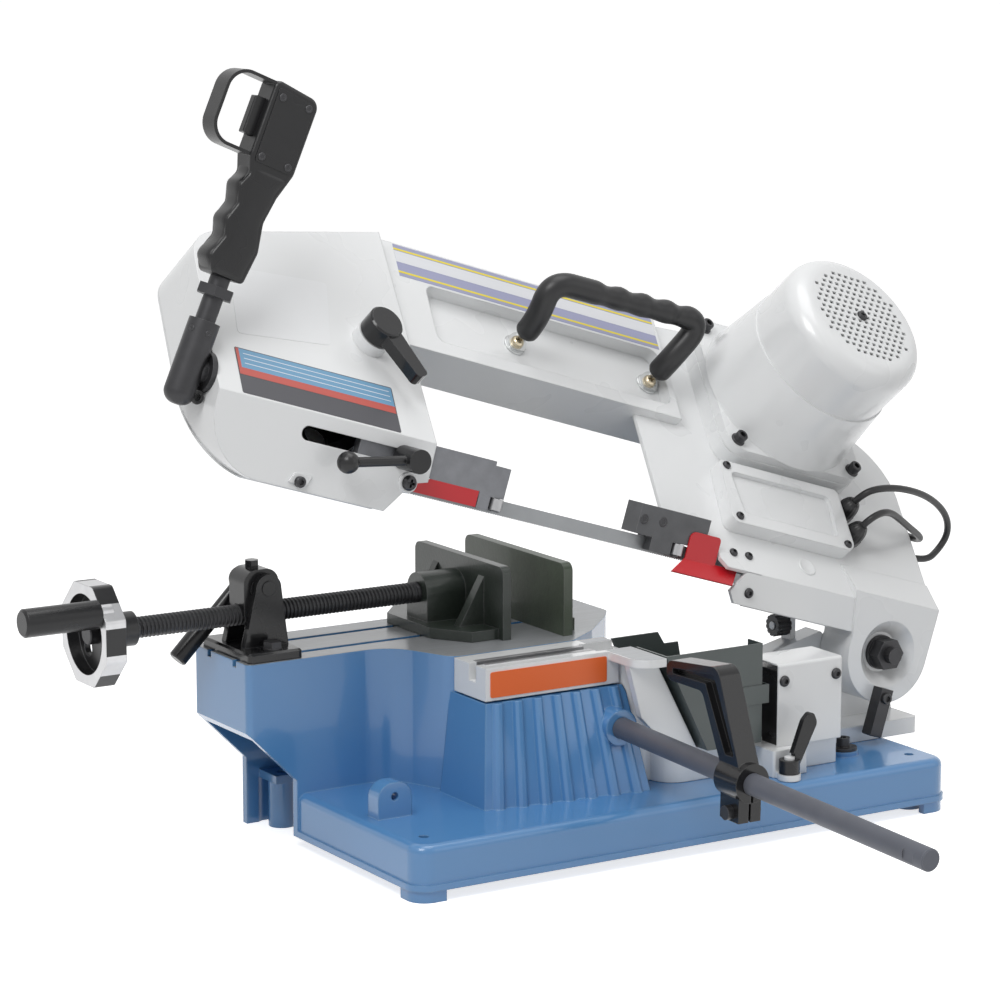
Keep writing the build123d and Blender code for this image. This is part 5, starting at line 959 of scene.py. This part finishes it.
def sleeve_skin():
    """Rounded rings up the grip, waved on the finger side and drawn in at both ends."""
    outlines = []
    for step in range(sleeve_steps + 1):
        rise = sleeve_low + (sleeve_high - sleeve_low) * step / sleeve_steps
        left = eased(grip_left, rise) - sleeve_over
        right = eased(grip_right, rise) + sleeve_over
        end_room = min(rise - sleeve_low, sleeve_high - rise)
        share = min(1.0, sleeve_end_share + sleeve_end_slope * end_room)
        ring = []
        for corner in range(sleeve_sides):
            turn = 2 * pi * corner / sleeve_sides
            across = (left + right) / 2 + squared(cos(turn)) * share * (right - left) / 2
            ring.append((across, grip_low + rise, squared(sin(turn)) * share * sleeve_half))
        outlines.append(list(reversed(ring)))
    return rings(outlines, grip_frame)


piece("grip_sleeve", sleeve_skin(), "bow", "black_plastic")

# Web at the elbow with a hollow boss
web_corners = [(6, 9), (17.5, 17), (17.5, 50), (10, 62)]
web_thickness = 7
web_boss_profile = [(6.5, -4), (6.5, 9), (5.9, 9.6), (3.4, 9.6), (3.2, 6)]
web = slab(web_corners, web_thickness, grip_frame, -web_thickness / 2)
boss = turned(web_boss_profile, grip_frame @ at(13.5, 12, 0))
piece("elbow_web", joined([web, boss]), "bow", "black_iron")

# Steel liner in the trough's slot: two walls with a flange each
liner_left = -164
liner_right = -47
liner_half = 6
liner_depth = 14
liner_flange = 5
liner_sheet = 0.6
liner_sunk = 0.1
liner_plane = at(0, swivel_y, table_top)
liner_shapes = []
for side in (-1, 1):
    inner = side * (liner_half - liner_sheet)
    for outer, low, high in ((side * (liner_half + liner_sunk), -liner_depth, 0),
                             (side * (liner_half + liner_flange), -liner_sunk, liner_sheet)):
        sheet = box_corners(liner_left, liner_right, min(inner, outer), max(inner, outer))
        liner_shapes.append(slab(sheet, high - low, liner_plane, low))
piece("slot_liner", joined(liner_shapes), "swivel", "bright_steel", smooth=False)

# Floor, world and lights, in metres and watts
background_rays = ("Is Camera Ray", "Is Glossy Ray", "Is Transmission Ray")
floor_size = 120
floor_lift = 0.74
world_light = 0.3
light_aim = (0, 0, 0.25)
light_plan = {
    "key": ((-1.4, -0.9, 2.0), 1.0, 24),
    "fill": ((1.8, -2.2, 1.4), 1.6, 6),
    "top": ((0.2, -0.2, 2.6), 1.6, 22),
}


def background_share(tree):
    """One for rays that show the background, and zero for rays that light the saw."""
    path = tree.nodes.new("ShaderNodeLightPath")
    share = path.outputs[background_rays[0]]
    for ray in background_rays[1:]:
        share = calc(tree, "MAXIMUM", share, path.outputs[ray])
    return share


bpy.ops.mesh.primitive_plane_add(size=floor_size, location=(0, 0, 0))
floor = bpy.context.object
floor.name = "floor"
floor_finish, floor_tree, floor_shader = new_material("floor_white")
floor_shader.inputs["Base Color"].default_value = (0.8, 0.8, 0.8, 1)
floor_shader.inputs["Roughness"].default_value = 0.9
floor_shader.inputs["Emission Color"].default_value = (1, 1, 1, 1)
floor_glow = calc(floor_tree, "MULTIPLY", background_share(floor_tree), floor_lift)
link(floor_tree, floor_glow, floor_shader.inputs["Emission Strength"])
floor.data.materials.append(floor_finish)

world = bpy.data.worlds.new("studio")
scene.world = world
world.use_nodes = True
world_tree = world.node_tree
sky = world_tree.nodes["Background"]
sky.inputs["Color"].default_value = (1, 1, 1, 1)
sky_strength = spread(world_tree, background_share(world_tree), world_light, 1.0)
link(world_tree, sky_strength, sky.inputs["Strength"])

for name, (place, size, power) in light_plan.items():
    light = bpy.data.lights.new(name, "AREA")
    light.size = size
    light.energy = power
    lamp = bpy.data.objects.new(name, light)
    lamp.location = place
    lamp.rotation_euler = (Vector(light_aim) - Vector(place)).to_track_quat("-Z", "Y").to_euler()
    scene.collection.objects.link(lamp)
